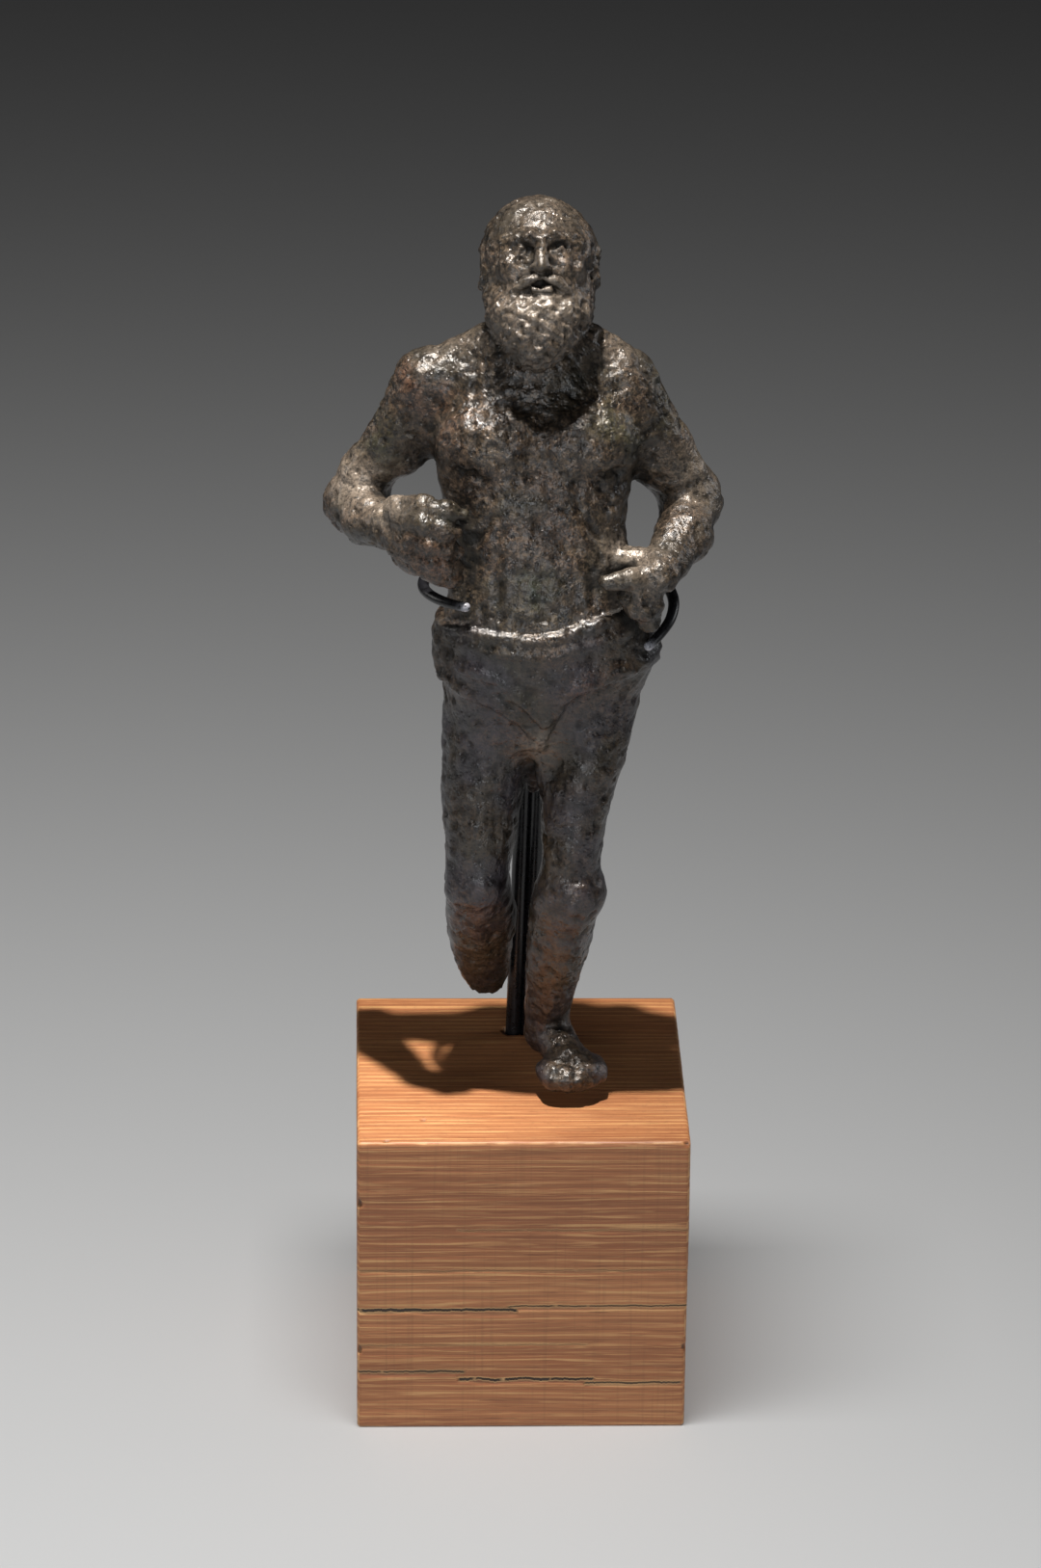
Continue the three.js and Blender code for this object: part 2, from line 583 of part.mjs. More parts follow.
function normalOf(p, q, r) {
  const a = [q[0] - p[0], q[1] - p[1], q[2] - p[2]];
  const b = [r[0] - p[0], r[1] - p[1], r[2] - p[2]];
  return [a[1] * b[2] - a[2] * b[1], a[2] * b[0] - a[0] * b[2], a[0] * b[1] - a[1] * b[0]];
}

// Quadric of a plane: ten numbers of the symmetric 4 x 4 matrix.
function planeQuadric(n, d, w) {
  const [a, b, c] = n;
  return [a * a, a * b, a * c, a * d, b * b, b * c, b * d, c * c, c * d, d * d].map((v) => v * w);
}

function quadricError(q, [x, y, z]) {
  return q[0] * x * x + 2 * q[1] * x * y + 2 * q[2] * x * z + 2 * q[3] * x + q[4] * y * y
    + 2 * q[5] * y * z + 2 * q[6] * y + q[7] * z * z + 2 * q[8] * z + q[9];
}

// The point of least error, pulled very slightly toward the middle of the edge.
function bestPoint(q, p1, p2) {
  const mid = [0, 1, 2].map((c) => (p1[c] + p2[c]) / 2);
  const w = 1e-3 * (q[0] + q[4] + q[7]) + 1e-9;
  const m = [[q[0] + w, q[1], q[2]], [q[1], q[4] + w, q[5]], [q[2], q[5], q[7] + w]];
  const r = [w * mid[0] - q[3], w * mid[1] - q[6], w * mid[2] - q[8]];
  const det = (a) => a[0][0] * (a[1][1] * a[2][2] - a[1][2] * a[2][1])
    - a[0][1] * (a[1][0] * a[2][2] - a[1][2] * a[2][0])
    + a[0][2] * (a[1][0] * a[2][1] - a[1][1] * a[2][0]);
  const whole = det(m);
  if (!(Math.abs(whole) > 1e-18)) return mid;
  const point = [0, 1, 2].map((c) => {
    const swapped = m.map((row, i) => row.map((v, j) => (j === c ? r[i] : v)));
    return det(swapped) / whole;
  });
  const span = Math.hypot(p1[0] - p2[0], p1[1] - p2[1], p1[2] - p2[2]);
  const off = Math.hypot(point[0] - mid[0], point[1] - mid[1], point[2] - mid[2]);
  return off > span ? mid : point;
}

function thinOut(mesh, target) {
  const pts = mesh.vertices.map((v) => v.slice());
  const tris = mesh.triangles.map((t) => t.slice());
  const ring = pts.map(() => new Set());
  const quadric = pts.map(() => new Array(10).fill(0));
  tris.forEach((t, i) => {
    const n = normalOf(pts[t[0]], pts[t[1]], pts[t[2]]);
    const size = Math.hypot(...n) || 1e-12;
    const unit = n.map((v) => v / size);
    const d = -(unit[0] * pts[t[0]][0] + unit[1] * pts[t[0]][1] + unit[2] * pts[t[0]][2]);
    const q = planeQuadric(unit, d, size);
    for (const v of t) {
      ring[v].add(i);
      for (let c = 0; c < 10; c++) quadric[v][c] += q[c];
    }
  });
  const alive = new Uint8Array(tris.length).fill(1);
  const stamp = new Int32Array(pts.length);
  const gone = new Uint8Array(pts.length);
  const heap = new Heap();
  const neighbours = (v) => {
    const out = new Set();
    for (const f of ring[v]) for (const w of tris[f]) if (w !== v) out.add(w);
    return out;
  };
  const consider = (a, b) => {
    const q = quadric[a].map((v, c) => v + quadric[b][c]);
    const point = bestPoint(q, pts[a], pts[b]);
    const len = Math.hypot(pts[a][0] - pts[b][0], pts[a][1] - pts[b][1], pts[a][2] - pts[b][2]);
    heap.push({ cost: Math.max(quadricError(q, point), 0) + 1e-4 * len * len, a, b, point,
      sa: stamp[a], sb: stamp[b] });
  };
  for (let v = 0; v < pts.length; v++) for (const w of neighbours(v)) if (v < w) consider(v, w);
  let left = tris.length;
  while (left > target && heap.a.length) {
    const { a, b, point, sa, sb } = heap.pop();
    if (gone[a] || gone[b] || stamp[a] !== sa || stamp[b] !== sb) continue;
    const na = neighbours(a), nb = neighbours(b);
    if (!na.has(b)) continue;
    let shared = 0;
    for (const w of na) if (nb.has(w)) shared++;
    if (shared !== 2) continue;
    let bad = false;
    for (const [v, other] of [[a, b], [b, a]]) {
      for (const f of ring[v]) {
        const t = tris[f];
        if (t.includes(other)) continue;
        const before = normalOf(pts[t[0]], pts[t[1]], pts[t[2]]);
        const moved = t.map((w) => (w === v ? point : pts[w]));
        const after = normalOf(...moved);
        const lb = Math.hypot(...before), la = Math.hypot(...after);
        const dot = before[0] * after[0] + before[1] * after[1] + before[2] * after[2];
        if (la < 1e-5 || dot < 0.25 * lb * la) {
          bad = true;
          break;
        }
      }
      if (bad) break;
    }
    if (bad) continue;
    for (const f of [...ring[b]]) {
      const t = tris[f];
      if (t.includes(a)) {
        alive[f] = 0;
        left--;
        for (const w of t) ring[w].delete(f);
      } else {
        t[t.indexOf(b)] = a;
        ring[a].add(f);
      }
    }
    ring[b].clear();
    gone[b] = 1;
    pts[a] = point;
    for (let c = 0; c < 10; c++) quadric[a][c] += quadric[b][c];
    stamp[a]++;
    for (const w of neighbours(a)) consider(a, w);
  }
  return compact(pts, tris.filter((t, i) => alive[i]));
}

function compact(pts, tris) {
  const index = new Map();
  const vertices = [];
  const triangles = tris.map((t) => t.map((v) => {
    if (!index.has(v)) {
      index.set(v, vertices.length);
      vertices.push(pts[v]);
    }
    return index.get(v);
  }));
  return { vertices, triangles };
}

// Keeps the largest connected shell.
function mainShell(mesh) {
  const parent = mesh.vertices.map((v, i) => i);
  const find = (i) => {
    while (parent[i] !== i) i = parent[i] = parent[parent[i]];
    return i;
  };
  for (const t of mesh.triangles) {
    parent[find(t[0])] = find(t[1]);
    parent[find(t[1])] = find(t[2]);
  }
  const size = new Map();
  for (const t of mesh.triangles) size.set(find(t[0]), (size.get(find(t[0])) || 0) + 1);
  const best = [...size.entries()].sort((a, b) => b[1] - a[1])[0][0];
  return compact(mesh.vertices, mesh.triangles.filter((t) => find(t[0]) === best));
}

function sculpt(field, low, high, step, target) {
  for (let attempt = 0; attempt < 6; attempt++) {
    const nudge = 0.13 * attempt;
    const shifted = low.map((v) => v - nudge);
    const mesh = mainShell(surfaceNet(field, shifted, high, step));
    if (closedTwoSided(mesh)) return thinOut(mesh, target);
  }
  throw new Error('no closed surface found');
}

// Geometry helpers.
function toGeometry({ vertices, triangles }, lift = 0) {
  const geometry = new THREE.BufferGeometry();
  const flat = new Float32Array(vertices.length * 3);
  vertices.forEach((v, i) => {
    flat[i * 3] = v[0];
    flat[i * 3 + 1] = v[1];
    flat[i * 3 + 2] = v[2] + lift;
  });
  geometry.setAttribute('position', new THREE.BufferAttribute(flat, 3));
  geometry.setIndex(triangles.flat());
  geometry.computeVertexNormals();
  return geometry;
}

function toMesh(name, geometry, color, roughness, metalness) {
  const mesh = new THREE.Mesh(geometry, new THREE.MeshStandardMaterial({ color, roughness, metalness }));
  mesh.name = name;
  return mesh;
}

const figure = figureField();

function buildFigurine() {
  const mesh = sculpt(figure, [-32, -18, 0], [32, 22, 144], FIGURE_CELL, FIGURE_TRIANGLES);
  return toMesh('figurine', toGeometry(mesh, BLOCK_HEIGHT), 0x3a3029, 0.55, 0.75);
}

// Cradle.
const wasm = await Module();
wasm.setup();

// A round rod swept along a smooth curve through the given points, tapering near its end.
function sweptRod(points, startRadius, endRadius, taperFrom, sides, steps) {
  const curve = new THREE.CatmullRomCurve3(points.map((p) => new THREE.Vector3(...p)), false, 'centripetal');
  const frames = curve.computeFrenetFrames(steps, false);
  const vertices = [];
  const triangles = [];
  for (let i = 0; i <= steps; i++) {
    const t = i / steps;
    const centre = curve.getPointAt(t);
    const r = mix(startRadius, endRadius, clamp((t - taperFrom) / Math.max(1 - taperFrom, 1e-6), 0, 1));
    for (let s = 0; s < sides; s++) {
      const a = 2 * Math.PI * (s + 0.5) / sides;
      const p = centre.clone().addScaledVector(frames.normals[i], r * Math.cos(a))
        .addScaledVector(frames.binormals[i], r * Math.sin(a));
      vertices.push([p.x, p.y, p.z]);
    }
  }
  for (let i = 0; i < steps; i++) {
    for (let s = 0; s < sides; s++) {
      const n = (s + 1) % sides;
      const a = i * sides + s, b = i * sides + n, c = a + sides, d = b + sides;
      triangles.push([a, b, d], [a, d, c]);
    }
  }
  const first = vertices.length;
  const p0 = curve.getPointAt(0), p1 = curve.getPointAt(1);
  vertices.push([p0.x, p0.y, p0.z], [p1.x, p1.y, p1.z]);
  for (let s = 0; s < sides; s++) {
    const n = (s + 1) % sides;
    triangles.push([first, n, s], [first + 1, steps * sides + s, steps * sides + n]);
  }
  return { vertices, triangles };
}

function toSolid({ vertices, triangles }) {
  return new wasm.Manifold(new wasm.Mesh({
    numProp: 3,
    vertProperties: new Float32Array(vertices.flat()),
    triVerts: new Uint32Array(triangles.flat()),
  }));
}

function solidFromGeometry(source) {
  const bare = source.clone();
  for (const name of Object.keys(bare.attributes)) {
    if (name !== 'position') bare.deleteAttribute(name);
  }
  const merged = mergeVertices(bare, 1e-4);
  return new wasm.Manifold(new wasm.Mesh({
    numProp: 3,
    vertProperties: new Float32Array(merged.attributes.position.array),
    triVerts: new Uint32Array(merged.index.array),
  }));
}

function solidToGeometry(solid) {
  const mesh = solid.getMesh();
  const geometry = new THREE.BufferGeometry();
  geometry.setAttribute('position', new THREE.BufferAttribute(new Float32Array(mesh.vertProperties), 3));
  geometry.setIndex(Array.from(mesh.triVerts));
  geometry.computeVertexNormals();
  return geometry;
}

// Moves a point straight away from the figure until a rod of this radius clears it.
function clearOf([x, y, z], radius) {
  const need = radius + FIT_GAP + 0.1;
  for (let i = 0; i < 60; i++) {
    const d = figure(x, y, z);
    if (d >= need) break;
    const e = 0.05;
    const g = [figure(x + e, y, z) - d, figure(x, y + e, z) - d, figure(x, y, z + e) - d];
    const len = Math.hypot(...g) || 1;
    const go = Math.max(need - d, 0.02) * 0.6;
    x += g[0] / len * go;
    y += g[1] / len * go;
    z += g[2] / len * go * 0.3;
  }
  return [x, y, z];
}

// The post's foot and lean, and where each rod leaves it to grip the waist.
const POST_X = 0.5;
const POST_Y = 13.3;
const POST_LEAN = 0.025;
const postAt = (side, z) => [POST_X + side * ROD_SPACING / 2 + POST_LEAN * z, POST_Y, z];

const RIGHT_GRIP = [[-3.4, 13.0, 74.5], [-9.0, 10.8, 79.5], [-13.6, 5.6, 81.0], [-15.4, -1.0, 81.2],
  [-13.0, -7.2, 81.4], [-8.6, -10.8, 81.6]];
const LEFT_GRIP = [[6.0, 13.4, 73.5], [13.0, 12.2, 78.4], [19.2, 7.6, 79.6], [21.9, 2.6, 79.0],
  [22.2, -1.6, 77.6], [20.4, -5.6, 75.6], [17.2, -8.6, 74.4]];

// The rod's own path: straight up the post, then round the waist, kept clear of the bronze.
function rodPath(side, grip) {
  const rough = new THREE.CatmullRomCurve3(
    [postAt(side, 66), ...grip].map((p) => new THREE.Vector3(...p)), false, 'centripetal');
  const bend = [];
  for (let i = 1; i <= 12; i++) {
    const p = rough.getPointAt(i / 12);
    bend.push(clearOf([p.x, p.y, p.z], mix(ROD_RADIUS, ROD_TIP_RADIUS, i / 12)));
  }
  return [...[-SOCKET_DEPTH, 10, 30, 48, 60, 66].map((z) => postAt(side, z)), ...bend];
}

function buildCradle() {
  const rods = [[-1, RIGHT_GRIP], [1, LEFT_GRIP]].map(([side, grip]) =>
    toSolid(sweptRod(rodPath(side, grip), ROD_RADIUS, ROD_TIP_RADIUS, 0.62, 10, 44)));
  const joined = rods[0].add(rods[1]).translate([0, 0, BLOCK_HEIGHT]);
  return toMesh('wire_cradle', solidToGeometry(joined), 0x0c0c0d, 0.3, 0.1);
}

// Block.
function buildBlock() {
  const box = new RoundedBoxGeometry(BLOCK_WIDTH, BLOCK_DEPTH, BLOCK_HEIGHT, 2, BLOCK_EDGE);
  box.translate(0, 0, BLOCK_HEIGHT / 2);
  let solid = solidFromGeometry(box);
  for (const side of [-1, 1]) {
    const hole = toSolid(sweptRod([postAt(side, -SOCKET_DEPTH - FIT_GAP), postAt(side, 2)],
      ROD_RADIUS + FIT_GAP, ROD_RADIUS + FIT_GAP, 1, 16, 1));
    solid = solid.subtract(hole.translate([0, 0, BLOCK_HEIGHT]));
  }
  return toMesh('wood_block', solidToGeometry(solid), 0xa9683a, 0.6, 0);
}

const group = new THREE.Group();
group.name = 'bronze_boxer_on_block';
group.add(buildFigurine(), buildCradle(), buildBlock());

export default group;
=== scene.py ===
"""Looks of the bronze boxer on his wire cradle and wood block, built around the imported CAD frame."""
import math

import bpy
import numpy as np
from mathutils import Matrix, Vector


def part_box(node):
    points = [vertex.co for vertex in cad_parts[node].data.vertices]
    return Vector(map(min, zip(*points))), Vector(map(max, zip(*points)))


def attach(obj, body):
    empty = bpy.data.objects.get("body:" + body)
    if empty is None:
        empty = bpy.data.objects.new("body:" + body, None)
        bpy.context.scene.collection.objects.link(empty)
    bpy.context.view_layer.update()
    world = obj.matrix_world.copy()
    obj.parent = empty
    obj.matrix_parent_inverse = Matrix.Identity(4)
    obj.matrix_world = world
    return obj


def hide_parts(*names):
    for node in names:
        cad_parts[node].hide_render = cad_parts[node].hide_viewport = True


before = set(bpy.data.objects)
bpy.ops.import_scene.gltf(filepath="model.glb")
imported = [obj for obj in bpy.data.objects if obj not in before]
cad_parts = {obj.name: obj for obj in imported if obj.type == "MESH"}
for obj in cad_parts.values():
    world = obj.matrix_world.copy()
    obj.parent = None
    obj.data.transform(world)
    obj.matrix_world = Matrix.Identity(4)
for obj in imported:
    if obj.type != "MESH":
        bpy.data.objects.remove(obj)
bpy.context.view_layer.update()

MM = 0.001
F32 = np.float32

# named sizes, millimetres, z counted from the top of the block for the figure
BLOCK = (50.8, 50.8, 49.5)
MID_X = 1.6
ROD_RADIUS = 1.25
ROD_SPACING = 2.3
ROD_TIP_RADIUS = 0.72
SOCKET_DEPTH = 12.0
FIT_GAP = 0.3
CLOTH = 0.55
FIGURE_CELL = 0.5


# signed distance shapes
# A shape is a function of a Patch of points, with the box that holds it. Shapes too far from
# the patch to matter are skipped.
class Patch:
    def __init__(self, x, y, z):
        self.x, self.y, self.z = x, y, z
        self.low = (x.min(), y.min(), z.min())
        self.high = (x.max(), y.max(), z.max())


class Shape:
    def __init__(self, distance, low, high):
        self.distance = distance
        self.low = tuple(float(v) for v in low)
        self.high = tuple(float(v) for v in high)

    def gap(self, p):
        """A distance that every point of the patch keeps from the shape's box."""
        total = 0.0
        for a in range(3):
            d = max(self.low[a] - p.high[a], p.low[a] - self.high[a], 0.0)
            total += d * d
        return math.sqrt(total)

    def __call__(self, p):
        gap = self.gap(p)
        return np.full(p.x.shape, gap) if gap > 6 else self.distance(p)


def around(shapes, margin):
    low = [min(s.low[a] for s in shapes) - margin for a in range(3)]
    high = [max(s.high[a] for s in shapes) + margin for a in range(3)]
    return low, high


def ellipsoid(c, r):
    def d(p):
        px, py, pz = (p.x - c[0]) / r[0], (p.y - c[1]) / r[1], (p.z - c[2]) / r[2]
        k0 = np.sqrt(px * px + py * py + pz * pz)
        k1 = np.sqrt((px / r[0]) ** 2 + (py / r[1]) ** 2 + (pz / r[2]) ** 2)
        return k0 * (k0 - 1) / np.maximum(k1, 1e-6)
    return Shape(d, np.subtract(c, r), np.add(c, r))


def cone(a, b, ra, rb):
    """Round cone from a with radius ra to b with radius rb."""
    a, b = np.asarray(a, float), np.asarray(b, float)
    length = float(np.linalg.norm(b - a))
    u = (b - a) / length
    slope = (ra - rb) / length
    shift = slope / math.sqrt(max(1 - slope * slope, 1e-6))

    def d(p):
        px, py, pz = p.x - a[0], p.y - a[1], p.z - a[2]
        h = px * u[0] + py * u[1] + pz * u[2]
        q = np.sqrt(np.maximum(px * px + py * py + pz * pz - h * h, 0))
        t = np.clip((h + q * shift) / length, 0, 1)
        return np.sqrt((h - t * length) ** 2 + q * q) - (ra + (rb - ra) * t)
    return Shape(d, np.minimum(a - ra, b - rb), np.maximum(a + ra, b + rb))


def smin(a, b, k):
    h = np.maximum(k - np.abs(a - b), 0) / k
    return np.minimum(a, b) - h * h * k * 0.25


def add(out, shape, k, p):
    """Blends one more shape into the distances, unless it is too far away to matter."""
    if shape.gap(p) > max(float(out.max()), 0.0) + k:
        return out
    return smin(out, shape.distance(p), k)


def blend(k, *shapes):
    def d(p):
        out = shapes[0](p)
        for shape in shapes[1:]:
            out = add(out, shape, k, p)
        return out
    return Shape(d, *around(shapes, k * 0.25))


def carve(k, base, *tools):
    def d(p):
        out = base(p)
        for tool in tools:
            if tool.gap(p) <= k + 0.5:
                out = -smin(-out, tool.distance(p), k)
        return out
    return Shape(d, base.low, base.high)


def limb(joints, softness=1.2):
    parts = [cone(p[:3], q[:3], p[3], q[3]) for p, q in zip(joints, joints[1:])]
    return parts[0] if len(parts) == 1 else blend(softness, *parts)


def column(rows, square=2.0):
    """Upright column of oval sections, rows (z, centre x, centre y, half width, half depth)."""
    rows = np.asarray(rows, float)
    zs = rows[:, 0]
    slopes = np.empty((len(rows), 4))
    slopes[1:-1] = (rows[2:, 1:] - rows[:-2, 1:]) / (zs[2:] - zs[:-2])[:, None]
    slopes[0] = (rows[1, 1:] - rows[0, 1:]) / (zs[1] - zs[0])
    slopes[-1] = (rows[-1, 1:] - rows[-2, 1:]) / (zs[-1] - zs[-2])

    def d(p):
        zz = np.clip(p.z, zs[0], zs[-1])
        i = np.clip(np.searchsorted(zs, zz, side="right") - 1, 0, len(zs) - 2)
        h = zs[i + 1] - zs[i]
        t = (zz - zs[i]) / h
        t2, t3 = t * t, t * t * t
        w = (2 * t3 - 3 * t2 + 1, (t3 - 2 * t2 + t) * h, 3 * t2 - 2 * t3, (t3 - t2) * h)
        v = [w[0] * rows[i, c + 1] + w[1] * slopes[i, c] + w[2] * rows[i + 1, c + 1]
             + w[3] * slopes[i + 1, c] for c in range(4)]
        ux, uy = np.abs(p.x - v[0]) / v[2], np.abs(p.y - v[1]) / v[3]
        q = np.maximum((ux ** square + uy ** square) ** (1 / square), 1e-3)
        g = np.sqrt(((ux / q) ** (square - 1) / v[2]) ** 2 + ((uy / q) ** (square - 1) / v[3]) ** 2)
        side = (q - 1) / np.maximum(g, 1e-6)
        out = np.abs(p.z - zz)
        return np.where(out > 0, np.sqrt(np.maximum(side, 0) ** 2 + out * out), side)
    low = (rows[:, 1] - rows[:, 3]).min(), (rows[:, 2] - rows[:, 4]).min(), zs[0]
    high = (rows[:, 1] + rows[:, 3]).max(), (rows[:, 2] + rows[:, 4]).max(), zs[-1]
    return Shape(d, low, high)


def turn_matrix(degrees):
    rx, ry, rz = (math.radians(v) for v in degrees)
    mx = np.array([[1, 0, 0], [0, math.cos(rx), -math.sin(rx)], [0, math.sin(rx), math.cos(rx)]])
    my = np.array([[math.cos(ry), 0, math.sin(ry)], [0, 1, 0], [-math.sin(ry), 0, math.cos(ry)]])
    mz = np.array([[math.cos(rz), -math.sin(rz), 0], [math.sin(rz), math.cos(rz), 0], [0, 0, 1]])
    return mz @ my @ mx


def placed(shape, centre, degrees):
    """A shape built round its own origin, then turned about X, Y, Z and moved."""
    m = turn_matrix(degrees)
    corners = np.array([[(shape.low, shape.high)[i >> a & 1][a] for a in range(3)] for i in range(8)])
    spread = corners @ m.T + centre

    def d(p):
        x, y, z = p.x - centre[0], p.y - centre[1], p.z - centre[2]
        return shape.distance(Patch(m[0, 0] * x + m[1, 0] * y + m[2, 0] * z,
                                    m[0, 1] * x + m[1, 1] * y + m[2, 1] * z,
                                    m[0, 2] * x + m[1, 2] * y + m[2, 2] * z))
    return Shape(d, spread.min(0), spread.max(0))


def at_points(shape, points, span=5.0):
    """Distances at any points, taken patch by patch so that far shapes are skipped."""
    points = np.atleast_2d(points)
    cell = np.floor(points / span).astype(np.int64)
    key = (cell[:, 0] + 512) * 1048576 + (cell[:, 1] + 512) * 1024 + cell[:, 2] + 512
    order = np.argsort(key, kind="stable")
    cuts = np.flatnonzero(np.diff(key[order])) + 1
    out = np.empty(len(points))
    for part in np.split(order, cuts):
        out[part] = shape(Patch(points[part, 0], points[part, 1], points[part, 2]))
    return out


# lattice noise
LATTICE = 64
LATTICE_VALUES = np.random.default_rng(11).random((LATTICE, LATTICE, LATTICE))


def noise(x, y, z, size, seed=0):
    """Smooth noise from -1 to 1 with features of about the given size."""
    p = [v / size + seed * s for v, s in zip((x, y, z), (17.3, 31.7, 7.9))]
    cell = [np.floor(v).astype(np.int64) for v in p]
    f = [v - c for v, c in zip(p, cell)]
    f = [v * v * v * (v * (v * 6 - 15) + 10) for v in f]
    out = 0
    for a in (0, 1):
        wx = f[0] if a else 1 - f[0]
        for b in (0, 1):
            wy = f[1] if b else 1 - f[1]
            for c in (0, 1):
                wz = f[2] if c else 1 - f[2]
                out = out + wx * wy * wz * LATTICE_VALUES[
                    (cell[0] + a) % LATTICE, (cell[1] + b) % LATTICE, (cell[2] + c) % LATTICE]
    return out * 2 - 1


def fractal(x, y, z, size, octaves, seed=0, gain=0.55):
    total, amp, norm = 0, 1.0, 0.0
    for i in range(octaves):
        total = total + amp * noise(x, y, z, size / 2 ** i, seed + i)
        norm += amp
        amp *= gain
    return total / norm


# the figure
TRUNK_ROWS = [
    (53.0, 2.2, 0.0, 5.0, 4.5),
    (58.0, 2.4, -0.3, 11.5, 8.0),
    (65.0, 2.9, -0.8, 14.8, 9.8),
    (70.5, 3.3, -1.3, 16.0, 10.2),
    (77.0, 2.8, -1.8, 15.2, 9.6),
    (82.0, 2.5, -1.6, 14.0, 9.0),
    (87.0, 2.2, -0.8, 13.2, 8.8),
    (93.0, 1.4, 0.8, 13.6, 9.2),
    (100.0, 1.3, 2.8, 15.0, 9.6),
    (107.0, 1.4, 4.6, 15.2, 9.0),
    (112.5, 1.5, 5.8, 12.5, 7.4),
    (118.0, 1.6, 6.2, 8.0, 6.0),
]
LEG_LEFT_ROWS = [
    (5.0, 4.1, 1.3, 3.3, 3.7),
    (9.5, 4.15, 0.4, 3.6, 4.2),
    (13.8, 4.55, -1.0, 3.85, 4.6),
    (20.0, 5.1, -2.8, 4.4, 5.2),
    (27.0, 5.95, -4.6, 5.1, 5.6),
    (33.5, 6.8, -6.6, 5.3, 5.2),
    (37.5, 7.1, -6.8, 4.5, 5.0),
    (43.5, 7.4, -5.8, 4.9, 5.4),
    (49.5, 8.3, -4.6, 5.5, 6.2),
    (55.0, 9.4, -3.2, 6.2, 7.0),
    (61.0, 9.9, -1.6, 6.8, 7.6),
    (67.0, 9.8, -0.6, 5.8, 7.0),
]
LEG_RIGHT_ROWS = [
    (9.6, -5.2, 9.6, 2.6, 2.8),
    (12.8, -5.5, 8.4, 3.9, 3.9),
    (17.5, -5.9, 6.2, 4.6, 4.8),
    (24.0, -6.3, 2.8, 5.3, 5.4),
    (29.5, -6.5, -1.2, 5.2, 5.6),
    (34.5, -6.7, -3.2, 4.8, 5.3),
    (42.0, -6.5, -2.8, 5.5, 5.8),
    (48.5, -6.2, -1.6, 6.3, 6.6),
    (54.5, -5.5, -0.6, 6.9, 7.2),
    (60.5, -5.4, 0.0, 6.9, 7.6),
    (67.0, -5.0, 0.2, 5.8, 7.0),
]


def trunk():
    chest = []
    for side in (-1, 1):
        chest.append(ellipsoid((MID_X + side * 7.0, -1.6, 104.2), (7.4, 4.6, 5.2)))
        chest.append(cone((MID_X + side * 5, 6.8, 116.4), (MID_X + side * 12.6, 6.6, 112.0), 4.1, 4.2))
        chest.append(ellipsoid((MID_X + side * 8, 9.4, 104), (7.5, 4.6, 8.5)))
        chest.append(ellipsoid((MID_X + 1 + side * 6.8, 5.0, 63.5), (7.2, 6.4, 7.4)))
    return blend(3, column(TRUNK_ROWS, 2.3), *chest)


def torso_lines():
    """Shallow lines cut in the trunk: belly wall, ribs, collar bones, spine and seat."""
    lines = [cone((MID_X, -7.6, 106), (2.2, -9.6, 93), 0.6, 0.5),
             cone((2.2, -10.2, 92), (2.5, -11.4, 80), 0.45, 0.4),
             ellipsoid((2.4, -11.0, 86.0), (0.8, 1.5, 0.8)),
             limb([(1.6, 14.6, 110, 0.7), (1.8, 13.6, 96, 0.9), (2.3, 9.6, 84, 0.8),
                   (2.7, 10.6, 72, 0.7)], 1.0),
             limb([(2.6, 12.0, 67, 0.5), (2.5, 12.0, 62, 0.8), (2.4, 9.0, 56.5, 0.9)], 1.0)]
    for side in (-1, 1):
        lines.append(limb([(MID_X + side * 1.2, -8.2, 100.0, 0.5), (MID_X + side * 5.5, -8.3, 96.6, 0.6),
                           (MID_X + side * 9.5, -7.0, 91.0, 0.5)], 0.6))
        lines.append(limb([(MID_X + side * 1.2, -7.5, 101.2, 0.4), (MID_X + side * 6.0, -7.6, 99.2, 0.5),
                           (MID_X + side * 11.5, -4.6, 101.0, 0.4)], 0.6))
        lines.append(cone((2.0 + side * 0.8, -9.8, 92.4), (2.2 + side * 5.6, -9.2, 92.0), 0.35, 0.3))
        lines.append(cone((2.2 + side * 0.8, -10.7, 88.6), (2.3 + side * 5.8, -9.9, 88.3), 0.35, 0.3))
        lines.append(cone((2.2 + side * 6.8, -8.7, 94.0), (2.6 + side * 7.4, -9.7, 82.0), 0.5, 0.4))
    return lines


def torso_rises():
    rises = []
    for side in (-1, 1):
        rises.append(ellipsoid((MID_X + side * 9.0, -5.2, 103.2), (0.7, 0.8, 0.7)))
        rises.append(cone((MID_X + side * 2.2, -0.3, 110.8), (MID_X + side * 11.5, 2.2, 113.8), 0.8, 0.8))
        rises.append(placed(ellipsoid((0, 0, 0), (4.6, 1.8, 6.2)),
                            (MID_X + side * 7.6, 12.6, 105.0), (-6, 0, side * 12)))
        for i in range(3):
            rises.append(cone((MID_X + side * (11.4 - 0.7 * i), -4.2 - 0.6 * i, 97.0 - 2.5 * i),
                              (MID_X + side * (13.4 - 0.5 * i), 1.0 - 0.3 * i, 98.4 - 2.4 * i), 0.75, 0.6))
    return rises


